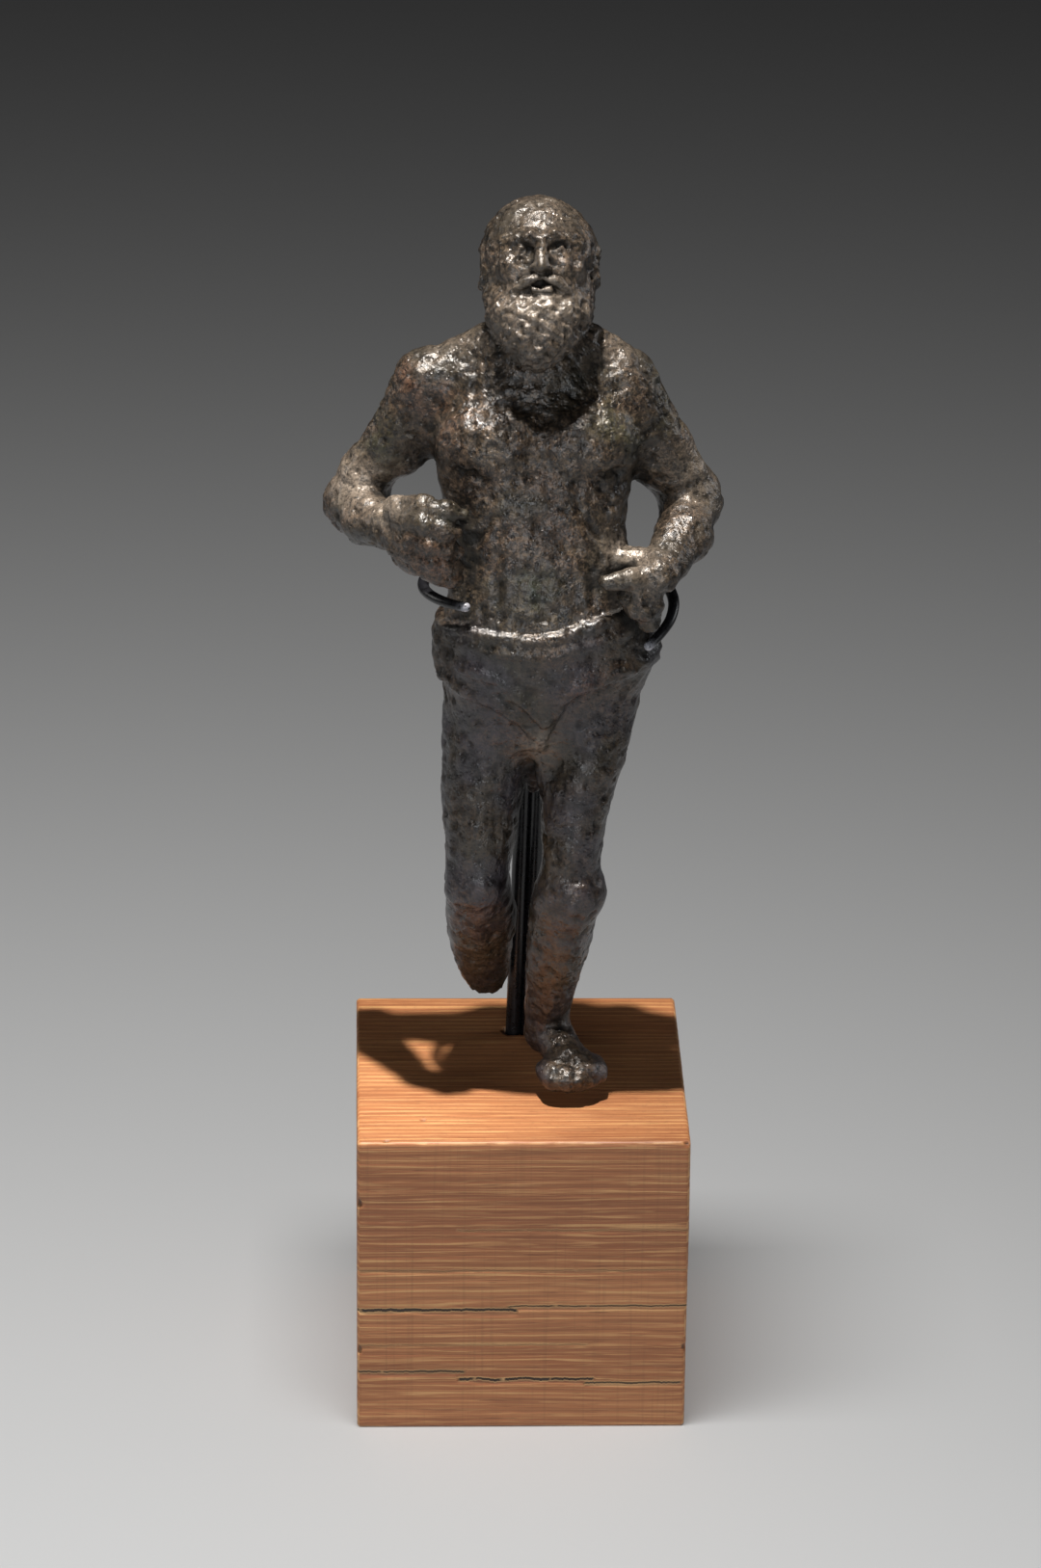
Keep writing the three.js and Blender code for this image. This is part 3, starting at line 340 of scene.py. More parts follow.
def legs():
    left = blend(1.6, column(LEG_LEFT_ROWS),
                 ellipsoid((6.2, -1.4, 25.5), (4.6, 4.4, 7.5)))
    left = blend(2.4, left, ellipsoid((8.0, -9.9, 33.4), (3.0, 1.9, 3.0)),
                 ellipsoid((3.9, -8.4, 33.0), (1.5, 1.8, 2.4)),
                 ellipsoid((10.5, -7.6, 33.6), (1.4, 1.8, 2.4)),
                 limb([(7.4, -9.6, 29.5, 0.8), (6.2, -7.2, 21.0, 0.6), (5.2, -4.2, 12.5, 0.5)], 1.0))
    right = blend(1.6, column(LEG_RIGHT_ROWS),
                  ellipsoid((-6.1, 6.4, 22.5), (4.6, 4.0, 6.5)),
                  ellipsoid((-4.2, 2.8, 25.5), (3.2, 4.4, 5.0)))
    right = blend(2.4, right, ellipsoid((-7.0, -6.8, 33.6), (2.9, 1.9, 2.9)),
                  ellipsoid((-10.0, -4.6, 33.2), (1.3, 1.8, 2.2)),
                  limb([(-6.9, -5.2, 29.0, 0.7), (-6.3, -0.2, 21.0, 0.5)], 1.0))
    left = carve(1.2, left, cone((5.2, -12.1, 37.6), (10.4, -11.7, 37.8), 0.6, 0.6),
                 cone((4.4, 1.6, 36.4), (10.0, 0.6, 36.4), 1.0, 1.0))
    return blend(0.8, left, right)


def foot():
    heel = ellipsoid((4.0, 3.0, 4.8), (3.3, 3.4, 3.4))
    instep = cone((4.9, -0.8, 6.4), (7.5, -7.5, 4.8), 3.4, 2.8)
    ball = placed(ellipsoid((0, 0, 0), (4.8, 4.6, 2.7)), (7.6, -9.0, 4.1), (0, 0, 20))
    toes = []
    for i in range(5):
        r = 1.75 if i == 0 else 1.35 - 0.05 * i
        x = 4.9 + i * 1.75 + (0.35 if i else 0)
        y = -12.4 + abs(i - 1.2) ** 1.5 * 0.5
        toes.append(cone((x - 0.7, y + 3, 4.2), (x, y, 2.1 + r + 0.12 * i), r, r * 0.95))
    whole = blend(1.6, heel, instep, ball, blend(0.3, *toes))
    return Shape(lambda p: np.maximum(whole(p), 2.0 - p.z), whole.low, whole.high)


def right_arm():
    upper = blend(2, limb([(-15.0, 6.8, 110.8, 5.2), (-19.2, 8.0, 101.8, 4.2),
                           (-23.9, 9.2, 95.2, 4.1), (-25.6, 10.0, 90.6, 4.4)]),
                  limb([(-15.5, 7.4, 105.0, 4.6), (-18.4, 7.8, 99.4, 3.5)]))
    fore = limb([(-25.5, 10.0, 90.3, 4.7), (-23.6, 2.4, 90.6, 3.9), (-18.8, -6.4, 92.0, 3.1)])
    return upper, fore


def right_hand():
    palm = placed(ellipsoid((0, 0, 0), (5.2, 2.9, 5.2)), (-15.8, -8.8, 91.2), (0, 14, -8))
    fingers = [
        limb([(-19.0, -8.8, 95.3, 1.7), (-15.6, -11.2, 95.2, 1.75), (-12.4, -11.6, 94.2, 1.5),
              (-10.8, -10.6, 93.6, 1.2)], 0.8),
        limb([(-18.0, -9.6, 92.8, 1.7), (-14.6, -11.5, 92.2, 1.75), (-12.0, -11.4, 91.2, 1.5),
              (-10.5, -10.4, 90.5, 1.2)], 0.8),
        limb([(-17.0, -10.0, 90.2, 1.65), (-14.0, -11.5, 89.5, 1.7), (-11.8, -11.2, 88.6, 1.4),
              (-10.5, -10.2, 88.0, 1.15)], 0.8),
        limb([(-16.0, -10.2, 87.9, 1.5), (-13.4, -11.3, 87.1, 1.5), (-11.4, -10.8, 86.3, 1.3),
              (-10.6, -10.0, 85.9, 1.1)], 0.8)]
    thumb = limb([(-19.4, -6.4, 95.8, 2.1), (-15.4, -9.6, 97.2, 1.8), (-12.0, -10.4, 97.0, 1.5),
                  (-9.8, -10.2, 96.4, 1.1)], 0.8)
    hand = blend(0.9, palm, blend(0.45, *fingers), thumb)
    return carve(0.4, hand, cone((-12.6, -13.2, 95.9), (-10.2, -12.4, 95.3), 0.35, 0.7))


def left_arm():
    upper = blend(2, limb([(15.2, 5.2, 109.6, 5.0), (20.2, 6.4, 101.2, 4.5), (25.0, 8.0, 91.8, 4.6)]),
                  cone((17.6, 5.8, 103.5), (19.4, 6.4, 98.0), 4.4, 3.6))
    fore = limb([(25.2, 8.0, 91.4, 4.6), (23.6, 0.4, 88.8, 4.2), (19.4, -8.6, 86.0, 3.1)])
    web = cone((18.4, -6.4, 87.4), (14.6, -5.2, 87.0), 2.0, 2.2)
    return upper, blend(1, fore, web)


def left_hand():
    palm = placed(ellipsoid((0, 0, 0), (3.0, 2.5, 3.6)), (17.3, -9.2, 83.4), (0, -20, 0))
    fingers = [
        limb([(14.6, -9.9, 83.2, 1.3), (16.0, -10.4, 80.9, 1.3), (17.9, -10.0, 78.3, 0.95)], 0.5),
        limb([(16.4, -10.6, 83.4, 1.35), (17.6, -10.7, 81.0, 1.3), (18.6, -10.0, 78.4, 0.95)], 0.5),
        limb([(18.4, -10.2, 84.0, 1.4), (19.1, -9.9, 81.6, 1.3), (19.0, -9.4, 79.0, 0.95)], 0.5)]
    thumb = limb([(18.0, -9.6, 86.2, 1.9), (14.8, -10.9, 86.2, 1.6), (11.3, -11.4, 85.9, 1.1)], 0.8)
    return blend(0.8, palm, blend(0.2, *fingers), thumb)


HEAD_AT = (1.6, 4.4, 131.4)
HEAD_TURN = (-28, 0, 0)


def skull_form():
    return blend(1.4, ellipsoid((0, 0.6, 0), (8.8, 9.4, 9.0)),
                 ellipsoid((0, -1.2, -5.2), (8.0, 5.6, 6.0)),
                 ellipsoid((0, -3.6, -4.6), (6.4, 5.4, 7.2)))


def beard_form():
    return blend(2.2, ellipsoid((-0.2, -4.2, -8.8), (7.5, 5.6, 5.6)),
                 ellipsoid((-0.8, -4.4, -12.6), (5.2, 4.6, 4.6)),
                 ellipsoid((-6.9, -1.4, -6.4), (1.3, 2.4, 3.4)),
                 ellipsoid((6.7, -1.4, -6.4), (1.3, 2.4, 3.4)))


def onto(shape, origin, direction, reach=16.0):
    """Walks from inside a shape along a direction to its surface."""
    o, d = np.asarray(origin, float), np.asarray(direction, float)
    d = d / np.linalg.norm(d)
    low, high = 0.0, reach
    for _ in range(18):
        mid = (low + high) / 2
        inside = at_points(shape, o + d * mid)[0] < 0
        low, high = (mid, high) if inside else (low, mid)
    return o + d * low


def beard_locks(body):
    """Staggered rows of short curled locks over the beard."""
    locks = []
    for row, (fall, count, spread) in enumerate(
            ((-8, 13, 92), (-19, 13, 88), (-30, 12, 84), (-41, 11, 80), (-52, 10, 74), (-64, 9, 68),
             (-76, 7, 62), (-88, 6, 60))):
        fall = math.radians(fall)
        for i in range(count):
            turn = math.radians(((i + 0.5) / count * 2 - 1) * spread)
            direction = np.array((math.sin(turn) * math.cos(fall), -math.cos(turn) * math.cos(fall),
                                  math.sin(fall)))
            p = onto(body, (-0.4, -3.4, -8.6), direction)
            across = np.cross(direction, (0, -0.6, 0.8))
            across /= np.linalg.norm(across)
            down = np.cross(direction, across)
            down *= -1 if down[2] > 0 else 1
            sway = 0.75 if (i + row) % 2 else -0.75
            a = p - down * 0.8 - across * sway * 0.6 - direction * 0.15
            b = p + across * sway * 0.7 + direction * 0.05
            c = p + down * 0.7 - across * sway * 0.3 - direction * 0.1
            locks.append(limb([(*a, 0.42), (*b, 0.55), (*c, 0.4)], 0.3))
    return blend(0.35, *locks)


def ear(side):
    """A flat ear close to the head, with its rim and lobe."""
    rim = []
    for angle in np.linspace(math.radians(-140), math.radians(100), 8):
        rim.append((side * (8.35 + 0.35 * math.sin(angle * 0.5) ** 2), -0.6 - 1.7 * math.cos(angle),
                    -1.9 + 2.7 * math.sin(angle), 0.48))
    shell = placed(ellipsoid((0, 0, 0), (0.65, 1.7, 2.9)), (side * 8.15, -0.5, -2.0), (10, 0, -side * 10))
    bowl = ellipsoid((side * 8.9, -0.9, -1.8), (0.55, 0.9, 1.5))
    return carve(0.3, blend(0.3, shell, limb(rim, 0.3)), bowl)


def head():
    brow = blend(0.8, cone((-5.2, -6.6, 1.0), (-1.6, -8.8, 1.6), 1.0, 1.1),
                 cone((5.2, -6.6, 1.0), (1.6, -8.8, 1.6), 1.0, 1.1))
    nose = blend(0.5, cone((0, -9.0, 0.6), (0, -10.6, -3.0), 0.9, 1.2),
                 ellipsoid((-0.95, -9.9, -3.4), (0.75, 0.85, 0.65)),
                 ellipsoid((0.95, -9.9, -3.4), (0.75, 0.85, 0.65)))
    cheeks = blend(1, ellipsoid((-4.1, -6.4, -2.6), (2.4, 2.2, 2.0)),
                   ellipsoid((4.1, -6.4, -2.6), (2.4, 2.2, 2.0)))
    face = carve(0.6, blend(1.4, skull_form(), brow, cheeks),
                 *[ellipsoid((s * 3.1, -9.3, -0.6), (1.8, 1.5, 1.2)) for s in (-1, 1)])
    eyes = [ellipsoid((s * 3.1, -7.5, -0.7), (1.2, 1.0, 0.8)) for s in (-1, 1)]
    lids = []
    for s in (-1, 1):
        lids.append(limb([(s * 1.9, -8.35, -0.7, 0.2), (s * 3.0, -8.6, -0.05, 0.28),
                          (s * 4.3, -7.9, -0.7, 0.2)], 0.2))
        lids.append(limb([(s * 1.9, -8.35, -0.8, 0.18), (s * 3.0, -8.45, -1.45, 0.2),
                          (s * 4.3, -7.8, -0.8, 0.18)], 0.2))
    beard = beard_form()
    hairy = blend(0.5, beard, beard_locks(beard))
    moustache = []
    for s in (-1, 1):
        moustache.append(limb([(s * 0.6, -9.8, -4.7, 0.7), (s * 2.2, -9.5, -5.3, 0.75),
                               (s * 4.2, -8.3, -6.8, 0.55)], 0.4))
    lip = cone((-1.2, -9.6, -6.5), (1.2, -9.6, -6.5), 0.5, 0.5)
    whole = blend(0.9, face, nose, hairy)
    return blend(0.35, blend(0.5, whole, ear(-1), ear(1)), *eyes, *lids, *moustache, lip)


# Heights along the loincloth's edges, by x, for the figure's right and left of the middle.
BELT_EDGE = ((-20, 75.6), (-12, 76.6), (-9, 77.2), (-4, 76.8), (1, 76.7), (4, 77.1), (7.5, 78.3),
             (12, 79.4), (16, 79.9), (24, 80.4))
HEM_EDGE = ((-20, 69.6), (-13, 68.4), (-9, 66.8), (-6, 66.1), (-3.8, 65.1), (-1.6, 63.4), (0.6, 61.0),
            (2.3, 59.4), (3.4, 61.0), (4.6, 64.2), (6.2, 67.2), (8, 68.8), (11, 69.7), (15, 70.4),
            (22, 71.2))
UPPER_EDGE = ((-20, 72.4), (-13, 71.6), (-9, 71.0), (-6.5, 70.7), (-4.4, 69.6), (-2.4, 68.1), (0, 65.8),
              (2.3, 62.6), (3.6, 62.8), (5, 66), (7, 69), (22, 72.5))


def edge_height(points, x):
    table = np.asarray(points, float)
    return np.interp(x, table[:, 0], table[:, 1])


def loincloth(skin, waist):
    def d(p):
        x, z = p.x, p.z
        hem, belt, upper = (edge_height(e, x) for e in (HEM_EDGE, BELT_EDGE, UPPER_EDGE))
        slope = 0.75
        s, w = skin(p), waist(p)
        under = np.maximum(np.maximum(s - CLOTH, (hem - z) * slope), z - belt)
        over = np.maximum(np.maximum(s - CLOTH - 0.45, (upper - z) * slope), z - belt)
        hem_roll = np.sqrt((s - 0.05) ** 2 + ((z - hem) * slope) ** 2) - 0.85
        upper_roll = np.sqrt((s - 0.45) ** 2 + ((z - upper) * slope) ** 2) - 0.8
        low = belt - 2.0 - 0.8 * np.exp(-((x - 5) / 6) ** 2)
        ridge = np.sqrt((w - 0.25) ** 2 + (z - belt) ** 2) - 0.75
        roll = np.sqrt((w + 0.15) ** 2 + (z - low) ** 2) - 1.45
        out = smin(smin(under, hem_roll, 0.8), smin(over, upper_roll, 0.9), 0.5)
        return smin(out, smin(ridge, roll, 0.25), 0.9)
    return Shape(d, (-20, -16, 57), (24, 14, 83))


def cloth_recesses():
    """Deep folds that read dark, in their own shade and in the painted shade of the crease mask: inside the
    hip loop, under the upper hem and by the left hand.
    """
    return [cone((-12.4, -7.2, 74.0), (-11.7, -7.6, 69.6), 0.95, 0.85),
            limb([(-7.2, -11.6, 69.6, 0.4), (-4.9, -12.0, 68.9, 0.75), (-2.9, -12.2, 67.4, 0.6)], 0.4),
            limb([(8.2, -12.6, 76.8, 0.3), (11.0, -11.9, 77.6, 0.55), (15.0, -10.4, 78.8, 0.6)], 0.4)]


def hip_loop():
    def ring(p):
        q = np.sqrt((p.y / 1.5) ** 2 + (p.z / 3.4) ** 2)
        g = np.maximum(np.sqrt((p.y / 1.5 ** 2) ** 2 + (p.z / 3.4 ** 2) ** 2), 1e-6)
        return np.sqrt((q * (q - 1) / g) ** 2 + p.x ** 2) - 0.95
    return placed(Shape(ring, (-0.8, -2.3, -4.2), (0.8, 2.3, 4.2)), (-11.9, -5.0, 71.6), (6, 0, 40))


def front_ends():
    """The knot below the apron, the folds hanging from it and the web between the thighs."""
    knot = ellipsoid((2.2, -8.4, 59.2), (1.3, 1.4, 1.9))
    web = limb([(1.8, -2.5, 60.0, 3.0), (1.8, -1.0, 52.0, 2.2), (1.7, 1.5, 47.4, 1.0)], 1.0)
    ends = [limb([(1.5 + i * 1.05, -7.2, 58.5, 0.75), (2.0 + i * 0.95, -6.0 - i * 0.5, 53.5, 0.7),
                  (2.9 + i * 0.8, -5.2 - i * 0.7, 48.5 - i * 2.0, 0.4)], 0.5) for i in range(3)]
    return blend(0.4, blend(1.4, web, knot), *ends)


def figure_field():
    body, limbs = trunk(), legs()
    upper_r, fore_r = right_arm()
    upper_l, fore_l = left_arm()
    neck = cone((1.7, 7.0, 113.5), (1.6, 4.6, 124.5), 6.6, 6.2)
    traps = blend(1, *[cone((MID_X + s * 5.2, 6.2, 118.0), (MID_X + s * 11.0, 6.6, 114.6), 2.6, 3.0)
                       for s in (-1, 1)])
    torso = carve(0.9, blend(1.2, body, *torso_rises()), *torso_lines())
    parts = [(3.0, upper_r), (3.0, upper_l), (2.4, neck), (2.4, traps), (1.4, fore_r), (1.4, fore_l),
             (0.7, right_hand()), (0.7, left_hand()), (0.8, placed(head(), HEAD_AT, HEAD_TURN)),
             (1.2, foot()), (0.4, loincloth(blend(2.4, body, limbs), body)), (0.5, hip_loop()),
             (0.9, front_ends())]
    chip = ellipsoid((-21.2, 2.6, 115.6), (3.4, 3.4, 2.2))
    main = blend(2.4, torso, limbs)

    def d(p):
        out = main(p)
        for k, shape in parts:
            out = add(out, shape, k, p)
        return out
    shapes = [main] + [shape for _, shape in parts]
    return carve(0.9, Shape(d, *around(shapes, 1.0)), chip, *cloth_recesses())


FIGURE = figure_field()
FIGURE_LOW = (-32.0, -18.0, 0.0)
FIGURE_HIGH = (32.0, 22.0, 160.0)


# from a field to a quad mesh
# The sampling grid shrinks towards the head, so that face, ears and beard get finer cells.
HEAD_SCALE = 0.66


def grid_scale(level):
    return 1 - (1 - HEAD_SCALE) * soft_step(level, 104.0, 120.0)


def soft_step(v, low, high):
    t = np.clip((v - low) / (high - low), 0, 1)
    return t * t * (3 - 2 * t)


LEVELS = np.linspace(-2.0, 190.0, 3841)
HEIGHTS = np.concatenate([[0], np.cumsum((grid_scale(LEVELS[1:]) + grid_scale(LEVELS[:-1])) / 2
                                         * np.diff(LEVELS))]) + LEVELS[0]


def from_grid(points):
    """Real places of points given in the warped grid's own coordinates."""
    scale = grid_scale(points[:, 2])
    out = np.empty_like(points)
    out[:, 0] = MID_X + (points[:, 0] - MID_X) * scale
    out[:, 1] = 2.0 + (points[:, 1] - 2.0) * scale
    out[:, 2] = np.interp(points[:, 2], LEVELS, HEIGHTS)
    return out


def sample_blocks(shape, low, counts, step, span=9):
    """Distances on a grid, exact near the surface and block by block elsewhere."""
    blocks = [-(-n // span) for n in counts]
    half = (span - 1) / 2
    axes = [low[a] + (np.arange(blocks[a]) * span + half) * step for a in range(3)]
    mids = np.stack(np.meshgrid(*axes, indexing="ij"), -1).reshape(-1, 3)
    values = at_points(shape, from_grid(mids), 12.0).reshape(blocks)
    reach = (span + 1) * step * math.sqrt(3) / 2 * 1.35
    near = np.argwhere(np.abs(values) < reach)
    values = values.repeat(span, 0).repeat(span, 1).repeat(span, 2)
    local = np.stack(np.meshgrid(*[np.arange(span)] * 3, indexing="ij"), -1).reshape(-1, 3)
    for block in near:
        index = block * span + local
        p = from_grid(np.array(low) + index * step)
        values[index[:, 0], index[:, 1], index[:, 2]] = shape(Patch(p[:, 0], p[:, 1], p[:, 2]))
    return values[:counts[0], :counts[1], :counts[2]]


def surface_net(shape, low, high, step):
    """Quads through the cells that the surface passes, one vertex a cell."""
    counts = [int(math.ceil((h - l) / step)) + 1 for l, h in zip(low, high)]
    value = sample_blocks(shape, low, counts, step)
    inside = value < 0
    cells = tuple(n - 1 for n in counts)
    total = np.zeros(cells + (3,), F32)
    hits = np.zeros(cells, F32)
    for axis in range(3):
        u, v = (axis + 1) % 3, (axis + 2) % 3
        for du in (0, 1):
            for dv in (0, 1):
                near, far = [None] * 3, [None] * 3
                near[axis], far[axis] = slice(0, -1), slice(1, None)
                for w, dw in ((u, du), (v, dv)):
                    near[w] = far[w] = slice(dw, counts[w] - 1 + dw)
                a, b = value[tuple(near)], value[tuple(far)]
                cut = (a < 0) != (b < 0)
                t = np.where(cut, a / np.where(cut, a - b, 1), 0)
                total[..., axis] += t
                total[..., u] += cut * du
                total[..., v] += cut * dv
                hits += cut
    active = hits > 0
    number = np.full(cells, -1, np.int64)
    number[active] = np.arange(int(active.sum()))
    points = np.array(low) + (np.argwhere(active) + total[active] / hits[active][:, None]) * step
    quads = []
    for axis in range(3):
        u, v = (axis + 1) % 3, (axis + 2) % 3
        near, far = [[slice(1, n - 1) for n in counts] for _ in range(2)]
        near[axis], far[axis] = slice(0, counts[axis] - 1), slice(1, counts[axis])
        a, b = inside[tuple(near)], inside[tuple(far)]
        corner = np.argwhere(a != b) + np.where(np.arange(3) == axis, 0, 1)
        step_u, step_v = np.eye(3, dtype=int)[u], np.eye(3, dtype=int)[v]
        ring = [corner, corner - step_u, corner - step_u - step_v, corner - step_v]
        q = np.stack([number[c[:, 0], c[:, 1], c[:, 2]] for c in ring], 1)
        ahead = corner + np.eye(3, dtype=int)[axis]
        flip = inside[ahead[:, 0], ahead[:, 1], ahead[:, 2]]
        q[flip] = q[flip][:, ::-1]
        quads.append(q)
    return from_grid(points), np.concatenate(quads)


def vertex_normals(points, quads):
    a, b, c, d = (points[quads[:, i]] for i in range(4))
    n = np.cross(c - a, d - b)
    out = np.zeros_like(points)
    for i in range(4):
        np.add.at(out, quads[:, i], n)
    return out / np.maximum(np.linalg.norm(out, axis=1, keepdims=True), 1e-9)


def settle(shape, points, quads):
    """Moves the vertices onto the true surface along their normals."""
    n = vertex_normals(points, quads)
    return points - n * np.clip(at_points(shape, points), -0.2, 0.2)[:, None]


def keep_largest(points, quads):
    parent = np.arange(len(points))
    while True:
        low = parent[quads].min(1)
        new = parent.copy()
        for i in range(4):
            np.minimum.at(new, quads[:, i], low)
        new = new[new]
        if np.array_equal(new, parent):
            break
        parent = new
    labels, counts = np.unique(parent, return_counts=True)
    keep = parent == labels[counts.argmax()]
    index = np.cumsum(keep) - 1
    return points[keep], index[quads[keep[quads[:, 0]]]]


# mesh helpers
def make_object(name, points_mm, faces, material, smooth=True):
    mesh = bpy.data.meshes.new(name)
    faces = np.asarray(faces)
    sides = faces.shape[1]
    mesh.vertices.add(len(points_mm))
    mesh.vertices.foreach_set("co", (np.asarray(points_mm) * MM).astype(F32).ravel())
    mesh.loops.add(faces.size)
    mesh.loops.foreach_set("vertex_index", faces.astype(np.int32).ravel())
    mesh.polygons.add(len(faces))
    mesh.polygons.foreach_set("loop_start", (np.arange(len(faces)) * sides).astype(np.int32))
    mesh.update(calc_edges=True)
    mesh.validate()
    mesh.polygons.foreach_set("use_smooth", np.full(len(mesh.polygons), smooth))
    obj = bpy.data.objects.new(name, mesh)
    bpy.context.scene.collection.objects.link(obj)
    mesh.materials.append(material)
    return obj


def add_value(obj, name, values):
    attribute = obj.data.attributes.new(name, "FLOAT", "POINT")
    attribute.data.foreach_set("value", np.asarray(values, F32))


# node helpers
class Nodes:
    """Short names for building a material's node tree."""

    def __init__(self, name):
        self.material = bpy.data.materials.new(name)
        self.material.use_nodes = True
        self.tree = self.material.node_tree
        self.shader = self.tree.nodes["Principled BSDF"]

    def add(self, kind, **settings):
        node = self.tree.nodes.new(kind)
        for key, value in settings.items():
            setattr(node, key, value)
        return node

    def link(self, source, target):
        self.tree.links.new(source, target)

    def put(self, socket, value):
        if isinstance(value, bpy.types.NodeSocket):
            self.link(value, socket)
        else:
            socket.default_value = value

    def place(self):
        return self.add("ShaderNodeTexCoord").outputs["Object"]

    def mapped(self, scale):
        node = self.add("ShaderNodeMapping")
        self.link(self.place(), node.inputs["Vector"])
        node.inputs["Scale"].default_value = scale
        return node.outputs["Vector"]

    def noise(self, scale, detail=4, rough=0.55, vector=None, distortion=0.0):
        node = self.add("ShaderNodeTexNoise")
        self.link(vector or self.place(), node.inputs["Vector"])
        node.inputs["Scale"].default_value = scale
        node.inputs["Detail"].default_value = detail
        node.inputs["Roughness"].default_value = rough
        node.inputs["Distortion"].default_value = distortion
        return node.outputs["Fac"]

    def cells(self, scale, vector=None, feature="F1"):
        node = self.add("ShaderNodeTexVoronoi", feature=feature)
        self.link(vector or self.place(), node.inputs["Vector"])
        node.inputs["Scale"].default_value = scale
        return node.outputs["Distance"]

    def ramp(self, fac, stops):
        node = self.add("ShaderNodeValToRGB")
        self.link(fac, node.inputs["Fac"])
        elements = node.color_ramp.elements
        for i, (at, colour) in enumerate(stops):
            element = elements[i] if i < 2 else elements.new(at)
            element.position = at
            element.color = (*colour, 1) if len(colour) == 3 else colour
        return node.outputs["Color"]

    def band(self, fac, low, high, to_low=0.0, to_high=1.0):
        node = self.add("ShaderNodeMapRange", clamp=True)
        self.put(node.inputs["Value"], fac)
        for key, value in (("From Min", low), ("From Max", high), ("To Min", to_low), ("To Max", to_high)):
            node.inputs[key].default_value = value
        return node.outputs["Result"]

    def math(self, operation, a, b=0.0):
        node = self.add("ShaderNodeMath", operation=operation)
        self.put(node.inputs[0], a)
        self.put(node.inputs[1], b)
        return node.outputs[0]

    def mix(self, fac, a, b):
        node = self.add("ShaderNodeMix", data_type="RGBA")
        self.put(node.inputs["Factor"], fac)
        for socket, value in ((node.inputs["A"], a), (node.inputs["B"], b)):
            self.put(socket, (*value, 1) if isinstance(value, tuple) else value)
        return node.outputs["Result"]

    def attribute(self, name):
        return self.add("ShaderNodeAttribute", attribute_name=name).outputs["Fac"]

    def bump(self, height, strength, distance_mm, normal=None):
        node = self.add("ShaderNodeBump")
        node.inputs["Strength"].default_value = strength
        node.inputs["Distance"].default_value = distance_mm * MM
        self.link(height, node.inputs["Height"])
        if normal is not None:
            self.link(normal, node.inputs["Normal"])
        return node.outputs["Normal"]


# materials
def bronze_material():
    m = Nodes("patinated_bronze")
    broad = m.noise(100, 5, 0.6)
    mottling = m.noise(620, 5, 0.72)
    specks = m.noise(1250, 5, 0.78, distortion=0.5)
    fine = m.noise(3800, 3, 0.7)
    painted_hollow_shade, violet, pale = m.attribute("painted_hollow_shade"), m.attribute("violet"), m.attribute("pale")
    ruddy, mossy, ochre = m.attribute("ruddy"), m.attribute("mossy"), m.attribute("ochre")
    legs_only = m.attribute("legs")
    base = m.mix(m.band(mottling, 0.38, 0.64), (0.006, 0.005, 0.004), (0.056, 0.042, 0.028))
    hide = m.mix(m.band(mottling, 0.36, 0.66), (0.012, 0.010, 0.012), (0.050, 0.044, 0.055))
    base = m.mix(m.math("MULTIPLY", violet, 0.9), base, hide)
    crust = m.math("MULTIPLY", m.band(specks, 0.50, 0.60), m.band(broad, 0.36, 0.58))
    crust = m.math("MULTIPLY", crust, m.band(legs_only, 0, 1, 0.8, 0.30))
    base = m.mix(crust, base, (0.185, 0.135, 0.088))
    base = m.mix(m.band(specks, 0.46, 0.36, 0, 0.7), base, (0.006, 0.005, 0.005))
    tint = m.math("MULTIPLY", m.band(broad, 0.40, 0.62), m.band(specks, 0.42, 0.58))
    base = m.mix(m.math("MULTIPLY", tint, m.band(ruddy, 0, 1, 0.15, 0.85)), base, (0.150, 0.056, 0.028))
    moss = m.math("MULTIPLY", m.band(m.noise(150, 4, 0.6), 0.42, 0.6), m.band(specks, 0.40, 0.60))
    base = m.mix(m.math("MULTIPLY", moss, m.band(mossy, 0, 1, 0.10, 0.70)), base, (0.042, 0.058, 0.022))
    brown = m.math("MULTIPLY", ochre, m.band(specks, 0.40, 0.58, 0.15, 0.80))
    base = m.mix(brown, base, (0.080, 0.050, 0.024))
    # Painted highlight: pale sandy colour on the lit tops, broken up by the specks.
    painted_highlight = m.math("MULTIPLY", pale, m.band(specks, 0.34, 0.54))
    base = m.mix(m.math("MULTIPLY", painted_highlight, 0.85), base, (0.420, 0.340, 0.260))
    # Painted shade: near-black colour in the creases, pits and low spots of the relief.
    base = m.mix(m.math("MULTIPLY", painted_hollow_shade, 0.85), base, (0.006, 0.005, 0.004))
    m.put(m.shader.inputs["Base Color"], base)
    rough = m.band(m.math("ADD", m.math("MULTIPLY", mottling, 0.7), m.math("MULTIPLY", painted_hollow_shade, 0.3)),
                   0.2, 0.7, 0.30, 0.62)
    m.put(m.shader.inputs["Roughness"], rough)
    m.shader.inputs["Metallic"].default_value = 0.25
    m.shader.inputs["IOR"].default_value = 1.5
    m.put(m.shader.inputs["Coat Weight"], m.band(painted_hollow_shade, 0, 0.5, 0.5, 0.0))
    m.put(m.shader.inputs["Coat Roughness"], m.band(mottling, 0.35, 0.65, 0.24, 0.42))
    m.shader.inputs["Coat Tint"].default_value = (0.93, 0.95, 1.0, 1)
    pits = m.band(m.cells(950), 0.06, 0.34, -0.45, 0.0)
    relief = m.math("ADD", m.noise(760, 3, 0.6, distortion=0.3), pits)
    normal = m.bump(relief, 0.65, 0.34)
    normal = m.bump(m.noise(1900, 2, 0.6), 0.6, 0.11, normal)
    normal = m.bump(fine, 0.3, 0.04, normal)
    m.link(normal, m.shader.inputs["Normal"])
    m.link(normal, m.shader.inputs["Coat Normal"])
    return m.material


